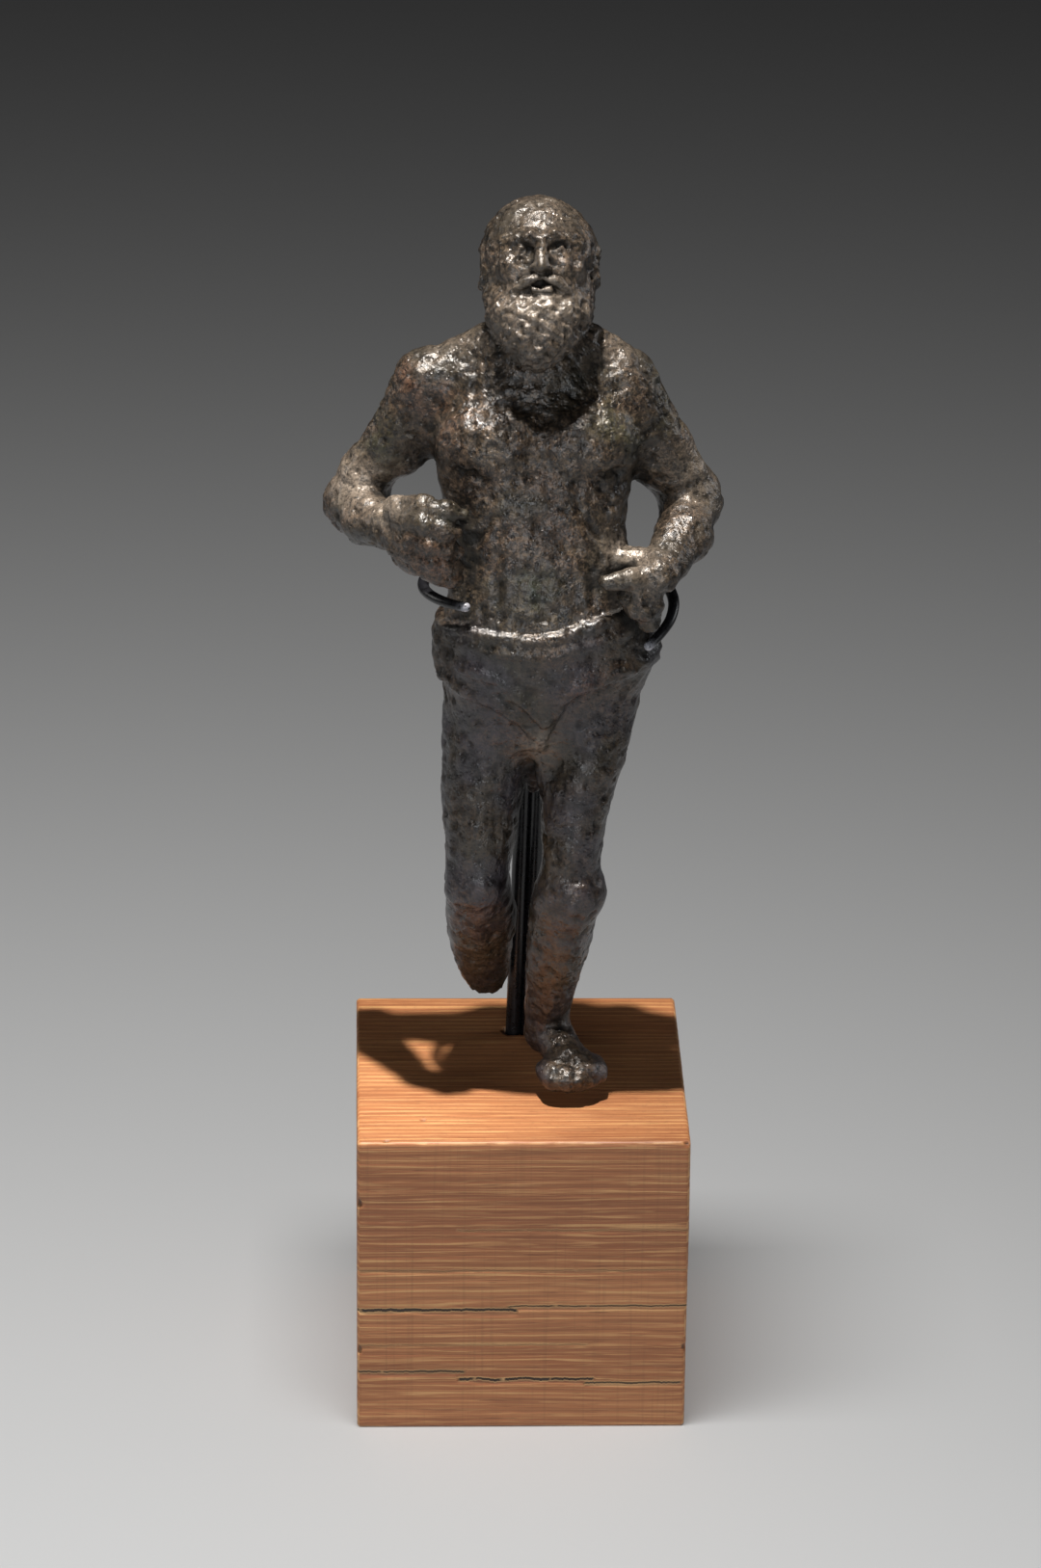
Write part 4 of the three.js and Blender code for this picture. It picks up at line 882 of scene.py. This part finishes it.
# Cracks on the block's front: height, from x, to x, wander, half width, darkness, in millimetres.
CRACKS = ((20.6, -25.2, -1.0, 0.35, 0.20, 1.0), (21.2, -2.0, 25.2, 0.30, 0.10, 0.9),
          (9.8, -25.0, -9.0, 0.45, 0.13, 0.9), (8.4, -9.5, 11.0, 0.50, 0.17, 1.0),
          (7.7, 10.0, 24.5, 0.35, 0.12, 0.9), (27.5, -25.2, 25.2, 0.40, 0.03, 0.45),
          (14.5, -25.2, 10.0, 0.40, 0.03, 0.4), (34.5, -10.0, 25.2, 0.40, 0.03, 0.4))
CRACK_DEPTH, NICK_DEPTH, SOCKET_DEPTH = 0.22, 0.4, 3.0
# Chipped corners and dents: place and radius.
BLOCK_NICKS = (
    ((-25.4, -25.4, 39.3), 1.0), ((-20.9, -24.6, 49.5), 0.5), ((-15.2, -17.6, 49.5), 0.45),
    ((25.4, -25.4, 14.0), 0.8), ((-25.4, -25.4, 13.9), 0.9), ((24.8, -25.4, 49.5), 0.7))


def crack_masks(m):
    """The dark line and the splintered pale edges of every crack, from the place on the front."""
    axes = m.add("ShaderNodeSeparateXYZ")
    m.link(m.place(), axes.inputs["Vector"])
    x, y, z = axes.outputs
    flat = m.mapped((1.0, 0.0, 0.0))
    ragged = m.math("MULTIPLY", m.math("SUBTRACT", m.noise(2600, 2, 0.6, vector=flat), 0.5), 0.35 * MM)
    front = m.band(y, (-BLOCK[1] / 2 + 0.5) * MM, (-BLOCK[1] / 2 + 0.9) * MM, 1.0, 0.0)
    dark, edge = 0.0, 0.0
    for i, (level, start, end, wander, width, depth) in enumerate(CRACKS):
        shifted = m.add("ShaderNodeMapping")
        m.link(flat, shifted.inputs["Vector"])
        shifted.inputs["Location"].default_value = (0.21 * (i + 1), 0, 0)
        sway = m.math("SUBTRACT", m.noise(260, 4, 0.6, vector=shifted.outputs["Vector"]), 0.5)
        path = m.math("ADD", m.math("MULTIPLY", sway, 2.6 * wander * MM), ragged)
        gap = m.math("ABSOLUTE", m.math("SUBTRACT", m.math("SUBTRACT", z, path), level * MM))
        reach = m.math("MULTIPLY", m.band(x, (start - 0.4) * MM, start * MM),
                       m.band(x, end * MM, (end + 0.4) * MM, 1.0, 0.0))
        broken = m.band(m.noise(420, 2, 0.6, vector=shifted.outputs["Vector"]), 0.33, 0.42)
        reach = m.math("MULTIPLY", m.math("MULTIPLY", reach, front), depth)
        line = m.math("MULTIPLY", m.band(gap, width * MM, (width + 0.07) * MM, 1.0, 0.0), broken)
        rim = m.band(gap, (width + 0.10) * MM, (width + 0.28) * MM, 1.0, 0.0)
        dark = m.math("MAXIMUM", dark, m.math("MULTIPLY", line, reach))
        edge = m.math("MAXIMUM", edge, m.math("MULTIPLY", rim, reach))
    return dark, edge


def wood_material():
    m = Nodes("oiled_hardwood")
    place = m.add("ShaderNodeMapping")
    m.link(m.place(), place.inputs["Vector"])
    place.inputs["Location"].default_value = (0.0, -0.30, 0.25)
    place.inputs["Scale"].default_value = (0.05, 1.0, 1.0)
    rings = []
    for scale, distortion in ((330, 8.0), (700, 12.0)):
        wave = m.add("ShaderNodeTexWave", wave_type="RINGS", rings_direction="X")
        m.link(place.outputs["Vector"], wave.inputs["Vector"])
        for key, value in (("Scale", scale), ("Distortion", distortion), ("Detail", 3.0),
                           ("Detail Scale", 0.8), ("Detail Roughness", 0.65)):
            wave.inputs[key].default_value = value
        rings.append(wave.outputs["Fac"])
    bands = m.noise(70, 3, 0.5, vector=m.mapped((0.06, 1.0, 1.0)))
    streaks = m.noise(500, 3, 0.6, vector=m.mapped((0.10, 1.0, 1.0)))
    fibre = m.noise(2200, 4, 0.7, vector=m.mapped((0.03, 1.0, 1.0)))
    pores = m.noise(2800, 3, 0.6, vector=m.mapped((0.05, 1.0, 1.0)))
    saw = m.noise(1500, 3, 0.55, vector=m.mapped((1.0, 1.0, 0.02)))
    colour = m.ramp(bands, [(0.34, (0.310, 0.108, 0.040)), (0.50, (0.410, 0.152, 0.057)),
                            (0.66, (0.490, 0.200, 0.078))])
    colour = m.mix(m.band(streaks, 0.45, 0.30, 0, 0.55), colour, (0.270, 0.095, 0.036))
    bright = m.math("MULTIPLY", m.band(rings[0], 0.86, 0.99), m.band(streaks, 0.40, 0.58, 0.10, 1.0))
    colour = m.mix(m.math("MULTIPLY", bright, 0.80), colour, (0.700, 0.390, 0.160))
    colour = m.mix(m.band(rings[1], 0.84, 1.0, 0, 0.45), colour, (0.640, 0.340, 0.135))
    colour = m.mix(m.band(rings[0], 0.22, 0.02, 0, 0.40), colour, (0.220, 0.078, 0.030))
    colour = m.mix(m.band(fibre, 0.55, 0.72, 0, 0.35), colour, (0.680, 0.390, 0.180))
    colour = m.mix(m.band(pores, 0.60, 0.70, 0, 0.60), colour, (0.160, 0.055, 0.022))
    colour = m.mix(m.band(saw, 0.54, 0.70, 0, 0.22), colour, (0.200, 0.080, 0.034))
    dark, edge = crack_masks(m)
    pale = m.math("MAXIMUM", m.math("MULTIPLY", m.attribute("pale"), 0.6), m.math("MULTIPLY", edge, 0.7))
    colour = m.mix(pale, colour, (0.760, 0.480, 0.220))
    # Besides the crack lines, this darkens the nicks and paints the socket holes near black, painted shade in
    # the holes.
    dark = m.math("MAXIMUM", dark, m.attribute("crack"))
    colour = m.mix(m.math("MULTIPLY", dark, 0.97), colour, (0.016, 0.006, 0.003))
    m.put(m.shader.inputs["Base Color"], colour)
    m.put(m.shader.inputs["Roughness"], m.band(fibre, 0.2, 0.8, 0.45, 0.65))
    m.shader.inputs["Coat Weight"].default_value = 0.08
    m.shader.inputs["Coat Roughness"].default_value = 0.35
    height = m.math("ADD", m.math("MULTIPLY", pores, -0.8), m.math("MULTIPLY", rings[0], 0.6))
    normal = m.bump(m.math("ADD", height, fibre), 0.5, 0.09)
    normal = m.bump(saw, 0.25, 0.05, normal)
    normal = m.bump(m.math("SUBTRACT", 1.0, dark), 0.6, 0.25, normal)
    m.link(normal, m.shader.inputs["Normal"])
    return m.material


def paint_material():
    m = Nodes("black_rod_paint")
    tip_wear_and_highlight = m.attribute("tip_wear_and_highlight")
    patch = m.noise(900, 4, 0.6)
    base = m.mix(m.band(patch, 0.4, 0.7), (0.006, 0.006, 0.007), (0.014, 0.014, 0.017))
    # The tips go pale bluish grey: worn paint, and a painted highlight for the glint that the tips catch.
    tip_wear_and_glint = m.math("MULTIPLY", tip_wear_and_highlight, m.band(m.noise(1400, 3, 0.6), 0.35, 0.5))
    base = m.mix(tip_wear_and_glint, base, (0.360, 0.360, 0.400))
    m.put(m.shader.inputs["Base Color"], base)
    m.put(m.shader.inputs["Roughness"], m.band(patch, 0.3, 0.7, 0.22, 0.38))
    m.link(m.bump(m.noise(1200, 3, 0.5), 0.12, 0.08), m.shader.inputs["Normal"])
    return m.material


# figure object
def near(p, centre, radius):
    return np.exp(-(((p - np.asarray(centre)) / np.asarray(radius)) ** 2).sum(1))


def shelter(points, normals):
    """How enclosed each vertex is: 0 in the open, towards 1 in deep creases."""
    total = np.zeros(len(points))
    for reach in (0.7, 1.8, 4.0):
        total += np.clip(1 - at_points(FIGURE, points + normals * reach) / reach, 0, 1)
    return np.clip(total / 3, 0, 1)


def patches(points, spots):
    """A mask made of soft oval patches, rows (weight, centre, radii)."""
    return np.clip(sum(weight * near(points, centre, radii) for weight, centre, radii in spots), 0, 1)


# Painted highlight: pale sandy patches on the tops that the overhead light catches, on the arms, left hand,
# shoulders, chin, crown and the knot. Rows (weight, centre, radii).
PAINTED_HIGHLIGHT_SPOTS = [
    (1.0, (-26, 8, 95), (4, 7, 4)), (1.0, (-20, -3, 96.5), (5, 6, 3)),
    (0.9, (15.5, -7, 88), (4, 5, 4)), (0.5, (-15, 5, 119), (7, 6, 3)),
    (0.35, (15, 5, 118), (7, 6, 3)), (0.5, (2, -9, 128), (8, 6, 6)),
    (0.3, (2, 2, 141), (8, 8, 4)), (0.4, (26, 4, 98), (4, 8, 9)),
    (0.5, (2.2, -9, 59), (2, 3, 3)),
]
RUDDY_SPOTS = [
    (0.9, (-19, 3, 115), (4, 6, 4)), (0.9, (-28, 7, 90), (5, 8, 6)),
    (0.7, (-13, -11, 90), (6, 4, 5)), (0.6, (14, -8, 116), (6, 6, 4)),
    (0.6, (27, 4, 88), (5, 6, 8)), (0.5, (-12, 0, 110), (4, 6, 6)),
    (0.4, (2, -9, 97), (8, 4, 8)), (0.5, (-14, 4, 104), (5, 5, 6)),
    (0.4, (9, -10, 70), (6, 4, 3)),
]
MOSSY_SPOTS = [
    (0.9, (-22, 8, 104), (4, 6, 7)), (0.8, (14, -3, 108), (5, 5, 7)),
    (0.5, (22, 6, 108), (4, 6, 6)), (0.5, (2, -10, 85), (9, 4, 6)),
    (0.4, (-6, -9, 102), (7, 5, 6)),
]
OCHRE_SPOTS = [
    (1.0, (-6, 4, 19), (7, 9, 11)), (0.8, (3, -6, 42), (2.2, 8, 16)),
    (0.8, (6, -6, 20), (6, 8, 12)), (0.6, (-9, -2, 66), (4, 8, 3)),
    (0.5, (9, -8, 33), (4, 5, 5)),
]


def weather(points, quads):
    """Corrosion relief along the normals, and the masks that the bronze material reads, painted shade and
    painted highlight among them.
    """
    n = vertex_normals(points, quads)
    x, y, z = points.T
    legs_only = soft_step(-z, -83, -72)
    smooth_hide = legs_only * soft_step(fractal(x, y, z, 7.0, 2, 90), -0.35, 0.2)
    swell = fractal(x, y, z, 5.0, 2, 3) * 0.15
    lumps = fractal(x, y, z, 2.3, 2, 21) * 0.26
    grain = noise(x, y, z, 1.2, 40) * 0.13
    creases = 0.18 * soft_step(np.abs(noise(x, y, z, 3.0, 130)), 0.0, 0.20) - 0.18
    pit_field = noise(x, y, z, 1.35, 60)
    pits = -0.34 * soft_step(pit_field, 0.42, 0.62)
    # Painted highlight: the pale patches sit on the tops that the overhead light catches.
    pale = patches(points, PAINTED_HIGHLIGHT_SPOTS)
    calm = 1 - 0.45 * near(points, (3, -9, 68), (12, 6, 7)) - 0.35 * smooth_hide
    height = swell + (lumps + grain + creases + pits) * calm
    height *= soft_step(z, 2.2, 3.2)
    closed = shelter(points, n)
    # Painted shade: this mask darkens the colour in creases, pits and low spots of the relief, where shade
    # falls; it also thins the coat there.
    painted_hollow_shade = np.clip(soft_step(pit_field, 0.40, 0.60) * 0.35 + 1.25 * soft_step(closed, 0.22, 0.62)
                     + 0.25 * soft_step(-(lumps + grain + creases), 0.12, 0.28), 0, 1)
    masks = {"painted_hollow_shade": painted_hollow_shade, "violet": smooth_hide, "pale": pale, "ruddy": patches(points, RUDDY_SPOTS),
             "mossy": patches(points, MOSSY_SPOTS), "ochre": patches(points, OCHRE_SPOTS),
             "legs": legs_only}
    return points + n * height[:, None], masks


def build_figure():
    points, quads = surface_net(FIGURE, FIGURE_LOW, FIGURE_HIGH, FIGURE_CELL)
    points, quads = keep_largest(points, quads)
    points = settle(FIGURE, points, quads)
    points, masks = weather(points, quads)
    points = points + np.array([0, 0, BLOCK[2]])
    low, high = (np.array(c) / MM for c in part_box("figurine"))
    points = np.clip(points, low, high)
    obj = make_object("boxer", points, quads, bronze_material())
    for name, values in masks.items():
        add_value(obj, name, values)
    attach(obj, "root")
    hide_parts("figurine")
    return obj


# cradle
POST_X = 0.5
POST_Y = 13.3
POST_LEAN = 0.025
RIGHT_GRIP = [(-3.4, 13.0, 74.5), (-9.0, 10.8, 79.5), (-13.6, 5.6, 81.0), (-15.4, -1.0, 81.2),
              (-13.0, -7.2, 81.4), (-8.6, -10.8, 81.6)]
LEFT_GRIP = [(6.0, 13.4, 73.5), (13.0, 12.2, 78.4), (19.2, 7.6, 79.6), (21.9, 2.6, 79.0),
             (22.2, -1.6, 77.6), (20.4, -5.6, 75.6), (17.2, -8.6, 74.4)]


def post_at(side, z):
    return (POST_X + side * ROD_SPACING / 2 + POST_LEAN * z, POST_Y, z)


def smooth_curve(points, count):
    """Centripetal Catmull-Rom curve through the points, sampled evenly along its length."""
    p = np.asarray(points, float)
    p = np.vstack([2 * p[0] - p[1], p, 2 * p[-1] - p[-2]])
    out = []
    for i in range(1, len(p) - 2):
        p0, p1, p2, p3 = p[i - 1:i + 3]
        t = [0.0]
        for a, b in ((p0, p1), (p1, p2), (p2, p3)):
            t.append(t[-1] + max(np.linalg.norm(b - a), 1e-6) ** 0.5)
        for s in np.linspace(t[1], t[2], 24, endpoint=False):
            a1 = (t[1] - s) / (t[1] - t[0]) * p0 + (s - t[0]) / (t[1] - t[0]) * p1
            a2 = (t[2] - s) / (t[2] - t[1]) * p1 + (s - t[1]) / (t[2] - t[1]) * p2
            a3 = (t[3] - s) / (t[3] - t[2]) * p2 + (s - t[2]) / (t[3] - t[2]) * p3
            b1 = (t[2] - s) / (t[2] - t[0]) * a1 + (s - t[0]) / (t[2] - t[0]) * a2
            b2 = (t[3] - s) / (t[3] - t[1]) * a2 + (s - t[1]) / (t[3] - t[1]) * a3
            out.append((t[2] - s) / (t[2] - t[1]) * b1 + (s - t[1]) / (t[2] - t[1]) * b2)
    out = np.array(out + [p[-2]])
    along = np.concatenate([[0], np.cumsum(np.linalg.norm(np.diff(out, axis=0), axis=1))])
    at = np.linspace(0, along[-1], count)
    return np.stack([np.interp(at, along, out[:, a]) for a in range(3)], 1)


def clear_of(point, radius):
    """Moves a point straight away from the bronze until a rod of this radius clears it."""
    p = np.array(point, float)
    need, e = radius + FIT_GAP + 0.1, 0.05
    for _ in range(60):
        probe = p + np.vstack([np.zeros(3), np.eye(3) * e])
        d = at_points(FIGURE, probe)
        if d[0] >= need:
            break
        g = (d[1:] - d[0]) / max(np.linalg.norm(d[1:] - d[0]), 1e-9)
        p = p + g * max(need - d[0], 0.02) * 0.6 * np.array([1, 1, 0.3])
    return p


def rod_radius(t):
    return ROD_RADIUS + (ROD_TIP_RADIUS - ROD_RADIUS) * np.clip((t - 0.62) / 0.38, 0, 1)


def rod_path(side, grip):
    rough = smooth_curve([post_at(side, 66)] + grip, 13)
    bend = [clear_of(p, ROD_RADIUS + (ROD_TIP_RADIUS - ROD_RADIUS) * (i + 1) / 12)
            for i, p in enumerate(rough[1:])]
    return [post_at(side, z) for z in (-SOCKET_DEPTH, 10, 30, 48, 60, 66)] + bend


def tube(points, radii, sides=24):
    """Rings of vertices along a path, joined by quads; domed ends come from the path that domed() gives it.
    """
    tangent = np.gradient(points, axis=0)
    tangent /= np.linalg.norm(tangent, axis=1, keepdims=True)
    normal = np.array([1.0, 0, 0])
    rings = []
    angle = np.linspace(0, 2 * np.pi, sides, endpoint=False)
    for p, t, r in zip(points, tangent, radii):
        normal = normal - t * (normal @ t)
        normal /= np.linalg.norm(normal)
        other = np.cross(t, normal)
        rings.append(p + r * (np.cos(angle)[:, None] * normal + np.sin(angle)[:, None] * other))
    rings = np.array(rings)
    count = len(rings)
    vertices = rings.reshape(-1, 3)
    faces = []
    for i in range(count - 1):
        for s in range(sides):
            n = (s + 1) % sides
            faces.append((i * sides + s, i * sides + n, (i + 1) * sides + n, (i + 1) * sides + s))
    return vertices, faces


def domed(points, radii, steps=5):
    """Adds rings that close the far end of a tube in a dome."""
    t = points[-1] - points[-2]
    t /= np.linalg.norm(t)
    r = radii[-1]
    angle = np.linspace(0, np.pi / 2, steps + 1)[1:]
    base = points[-1] - t * r
    keep = np.linalg.norm(points - points[-1], axis=1) > r
    p = np.vstack([points[keep], base, base + np.outer(np.sin(angle), t) * r])
    q = np.concatenate([radii[keep], [r], np.maximum(np.cos(angle) * r, 0.02)])
    return p, q


def build_cradle():
    material = paint_material()
    rods = []
    for name, side, grip in (("cradle_rod_right", -1, RIGHT_GRIP), ("cradle_rod_left", 1, LEFT_GRIP)):
        path = smooth_curve(rod_path(side, grip), 260)
        t = np.linspace(0, 1, len(path))
        path, radii = domed(path, rod_radius(t))
        path, radii = domed(path[::-1], radii[::-1])
        points, faces = tube(path[::-1], radii[::-1])
        obj = make_object(name, points + np.array([0, 0, BLOCK[2]]), faces, material)
        # The last few percent of each rod, at its tip, get the worn paint and painted highlight.
        tip_wear_and_highlight = np.repeat(soft_step(np.linspace(0, 1, len(path)), 0.965, 0.985), 24)
        add_value(obj, "tip_wear_and_highlight", tip_wear_and_highlight)
        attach(obj, "root")
        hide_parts("wire_cradle")
        rods.append(obj)
    return rods


# block
def block_faces(cells):
    """A closed box surface of square cells, as points on the unit cube and quads."""
    index = {}
    points = []
    quads = []

    def vertex(key):
        if key not in index:
            index[key] = len(points)
            points.append(key)
        return index[key]

    for axis in range(3):
        u, v = (axis + 1) % 3, (axis + 2) % 3
        for side in (0, cells):
            for i in range(cells):
                for j in range(cells):
                    ring = []
                    for du, dv in ((0, 0), (1, 0), (1, 1), (0, 1)):
                        key = [0, 0, 0]
                        key[axis], key[u], key[v] = side, i + du, j + dv
                        ring.append(vertex(tuple(key)))
                    quads.append(ring if side else ring[::-1])
    return np.array(points) / cells, np.array(quads)


def line_gap(x, z, level, start, end, wander, seed):
    """Distance from a wandering crack line drawn at a height on the front face."""
    path = level + wander * noise(x, np.zeros_like(x), np.zeros_like(x), 4.5, seed)
    path = path + wander * 0.6 * noise(x, np.zeros_like(x), np.zeros_like(x), 1.3, seed + 1)
    off = np.maximum(np.maximum(start - x, x - end), 0)
    return np.hypot(z - path, off)


def build_block():
    cells = 118
    unit, quads = block_faces(cells)
    w, d, h = BLOCK
    edge = 0.55
    p = (unit - [0.5, 0.5, 0]) * [w, d, h]
    inner = np.clip(p, [-w / 2 + edge, -d / 2 + edge, edge], [w / 2 - edge, d / 2 - edge, h - edge])
    off = p - inner
    length = np.linalg.norm(off, axis=1, keepdims=True)
    normal = off / np.maximum(length, 1e-9)
    rounded = inner + normal * edge
    x, y, z = rounded.T
    grain = fractal(x * 0.06, y, z, 0.9, 3, 5)
    broad = fractal(x * 0.3, y, z, 9.0, 2, 8)
    sink = 0.035 + 0.035 * grain + 0.05 * np.clip(broad, -1, 1)
    front = soft_step(-normal[:, 1], 0.6, 0.95)
    crack = np.zeros(len(p))
    for i, (level, start, end, _, width, depth) in enumerate(CRACKS):
        gap = line_gap(x, z, level, start, end, 0.15, 10 * i)
        crack = np.maximum(crack, (1 - soft_step(gap, width, width + 0.45)) * depth * front)
    nick = np.zeros(len(p))
    for centre, radius in BLOCK_NICKS:
        nick = np.maximum(nick, 1 - soft_step(np.linalg.norm(rounded - centre, axis=1), radius * 0.4, radius))
    sink = sink + CRACK_DEPTH * crack + NICK_DEPTH * nick
    edge_wear = soft_step(length[:, 0], edge * 1.05, edge * 1.5)
    sink = sink + edge_wear * (0.05 + 0.12 * soft_step(fractal(x, y, z, 2.2, 2, 50), 0.0, 0.6))
    under = soft_step(-normal[:, 2], 0.5, 0.9)
    sink = sink * (1 - under)
    final = rounded - normal * sink[:, None]
    top = normal[:, 2] > 0.9
    hole = np.full(len(p), 1e3)
    for side in (-1, 1):
        sx, sy, _ = post_at(side, 0)
        hole = np.minimum(hole, np.hypot(x - sx, y - sy))
    socket = top & (hole < ROD_RADIUS + FIT_GAP)
    final[socket, 2] -= SOCKET_DEPTH
    obj = make_object("block", final, quads, wood_material())
    # The nicks are darkened, and the socket holes round the rods are painted near black, painted shade in the
    # holes.
    add_value(obj, "crack", np.clip(0.8 * nick + socket, 0, 1))
    add_value(obj, "pale", edge_wear * soft_step(fractal(x, y, z, 3.0, 2, 70), -0.1, 0.4))
    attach(obj, "root")
    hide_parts("wood_block")
    return obj


# stage, light and camera
def build_stage():
    m = Nodes("pale_floor")
    m.shader.inputs["Base Color"].default_value = FLOOR_COLOUR
    m.shader.inputs["Roughness"].default_value = 0.9
    m.shader.inputs["Specular IOR Level"].default_value = 0.1
    bpy.ops.mesh.primitive_plane_add(size=8, location=(0, 1.5, 0))
    floor = bpy.context.object
    floor.name = "floor"
    floor.data.materials.append(m.material)
    return floor


def aimed(name, kind, location, target, power, colour):
    data = bpy.data.lights.new(name, kind)
    data.energy = power
    data.color = colour
    obj = bpy.data.objects.new(name, data)
    obj.location = location
    obj.rotation_euler = (Vector(target) - Vector(location)).to_track_quat("-Z", "Y").to_euler()
    bpy.context.scene.collection.objects.link(obj)
    return obj


def area_light(name, location, target, size, power, colour=(1, 1, 1), spread=180):
    lamp = aimed(name, "AREA", location, target, power, colour)
    lamp.data.shape = "RECTANGLE"
    lamp.data.size, lamp.data.size_y = size
    lamp.data.spread = math.radians(spread)
    return lamp


def spot_light(name, location, target, radius, power, beam, colour):
    """A lamp with a soft-edged beam, its full width in degrees."""
    lamp = aimed(name, "SPOT", location, target, power, colour)
    lamp.data.shadow_soft_size = radius
    lamp.data.spot_size = math.radians(beam)
    lamp.data.spot_blend = 1.0
    return lamp


def group_of(name, objects):
    """A collection used only to say what a light shines on; it isn't part of the scene."""
    group = bpy.data.collections.new(name)
    for obj in objects:
        group.objects.link(obj)
    return group


# Light colours, in linear red, green and blue.
KEY_WARM, LAMP_WARM, RIM_WARM = (1.0, 0.95, 0.89), (1.0, 0.97, 0.93), (1.0, 0.98, 0.95)
FILL_COOL, RIM_COOL = (0.94, 0.97, 1.0), (0.95, 0.97, 1.0)
WORLD_COLOUR, WORLD_STRENGTH = (0.5, 0.5, 0.52, 1), 0.02
FLOOR_COLOUR = (0.62, 0.62, 0.615, 1)


def build_lights(floor, pieces):
    on_object, on_floor = group_of("object_lit", pieces), group_of("floor_lit", [floor])
    lamps = [
        spot_light("overhead_key", (-0.045, -0.06, 1.15), (-0.018, -0.01, 0.1), 0.014, 62, 15,
                   KEY_WARM),
        spot_light("left_pool", (-0.05, -0.06, 1.15), (-0.024, -0.02, 0.05), 0.014, 40, 4.4,
                   LAMP_WARM),
        area_light("front_fill", (-0.12, -1.5, 0.36), (0, 0, 0.12), (0.8, 0.3), 5.6, FILL_COOL),
        area_light("left_rim", (-0.8, 0.25, 0.35), (0, 0, 0.12), (0.35, 0.35), 0.7, RIM_WARM),
        area_light("right_rim", (0.8, 0.30, 0.35), (0, 0, 0.12), (0.35, 0.35), 0.9, RIM_COOL)]
    for lamp in lamps:
        lamp.light_linking.receiver_collection = on_object
    glint = spot_light("figure_glint", (-0.14, -0.34, 1.12), (0, 0, 0.14), 0.020, 26, 18, LAMP_WARM)
    glint.light_linking.receiver_collection = group_of("bronze_lit", pieces[:1])
    sweep = area_light("floor_sweep", (0.08, -0.25, 0.35), (0.08, -0.25, 0), (0.02, 0.02), 0.32)
    sweep.light_linking.receiver_collection = on_floor
    sweep.light_linking.blocker_collection = on_floor
    side = area_light("floor_side", (-0.14, -0.14, 0.50), (-0.14, -0.14, 0), (0.56, 0.20), 2.0, spread=148)
    side.light_linking.receiver_collection = on_floor
    side.light_linking.blocker_collection = group_of("floor_shade", [pieces[-1]])
    world = bpy.data.worlds.new("studio")
    bpy.context.scene.world = world
    world.use_nodes = True
    world.node_tree.nodes["Background"].inputs[0].default_value = WORLD_COLOUR
    world.node_tree.nodes["Background"].inputs[1].default_value = WORLD_STRENGTH
    bpy.context.scene.view_settings.view_transform = "Standard"


# The camera looks down on the object; pitch, yaw and roll in degrees, place in millimetres.
CAMERA_AT = (-26.444, -820.696, 459.280)
CAMERA_PITCH, CAMERA_YAW, CAMERA_ROLL = 23.760, 1.817, 0.674
CAMERA_LENS, SENSOR_WIDTH, NEAR_CLIP = 135.16, 36.0, 0.05


def build_camera():
    data = bpy.data.cameras.new("photo_camera")
    data.lens = CAMERA_LENS
    data.sensor_fit = "AUTO"
    data.sensor_width = SENSOR_WIDTH
    data.clip_start = NEAR_CLIP
    obj = bpy.data.objects.new("photo_camera", data)
    pitch, yaw, roll = (math.radians(v) for v in (CAMERA_PITCH, CAMERA_YAW, CAMERA_ROLL))
    forward = np.array([math.sin(yaw) * math.cos(pitch), math.cos(yaw) * math.cos(pitch),
                        -math.sin(pitch)])
    right = np.array([math.cos(yaw), -math.sin(yaw), 0.0])
    up = np.cross(right, forward)
    right, up = (math.cos(roll) * right + math.sin(roll) * up,
                 -math.sin(roll) * right + math.cos(roll) * up)
    m = Matrix([[right[i], up[i], -forward[i], CAMERA_AT[i] * MM] for i in range(3)] + [[0, 0, 0, 1]])
    obj.matrix_world = m
    bpy.context.scene.collection.objects.link(obj)
    bpy.context.scene.camera = obj


build_camera()
pieces = [build_figure(), *build_cradle(), build_block()]
build_lights(build_stage(), pieces)
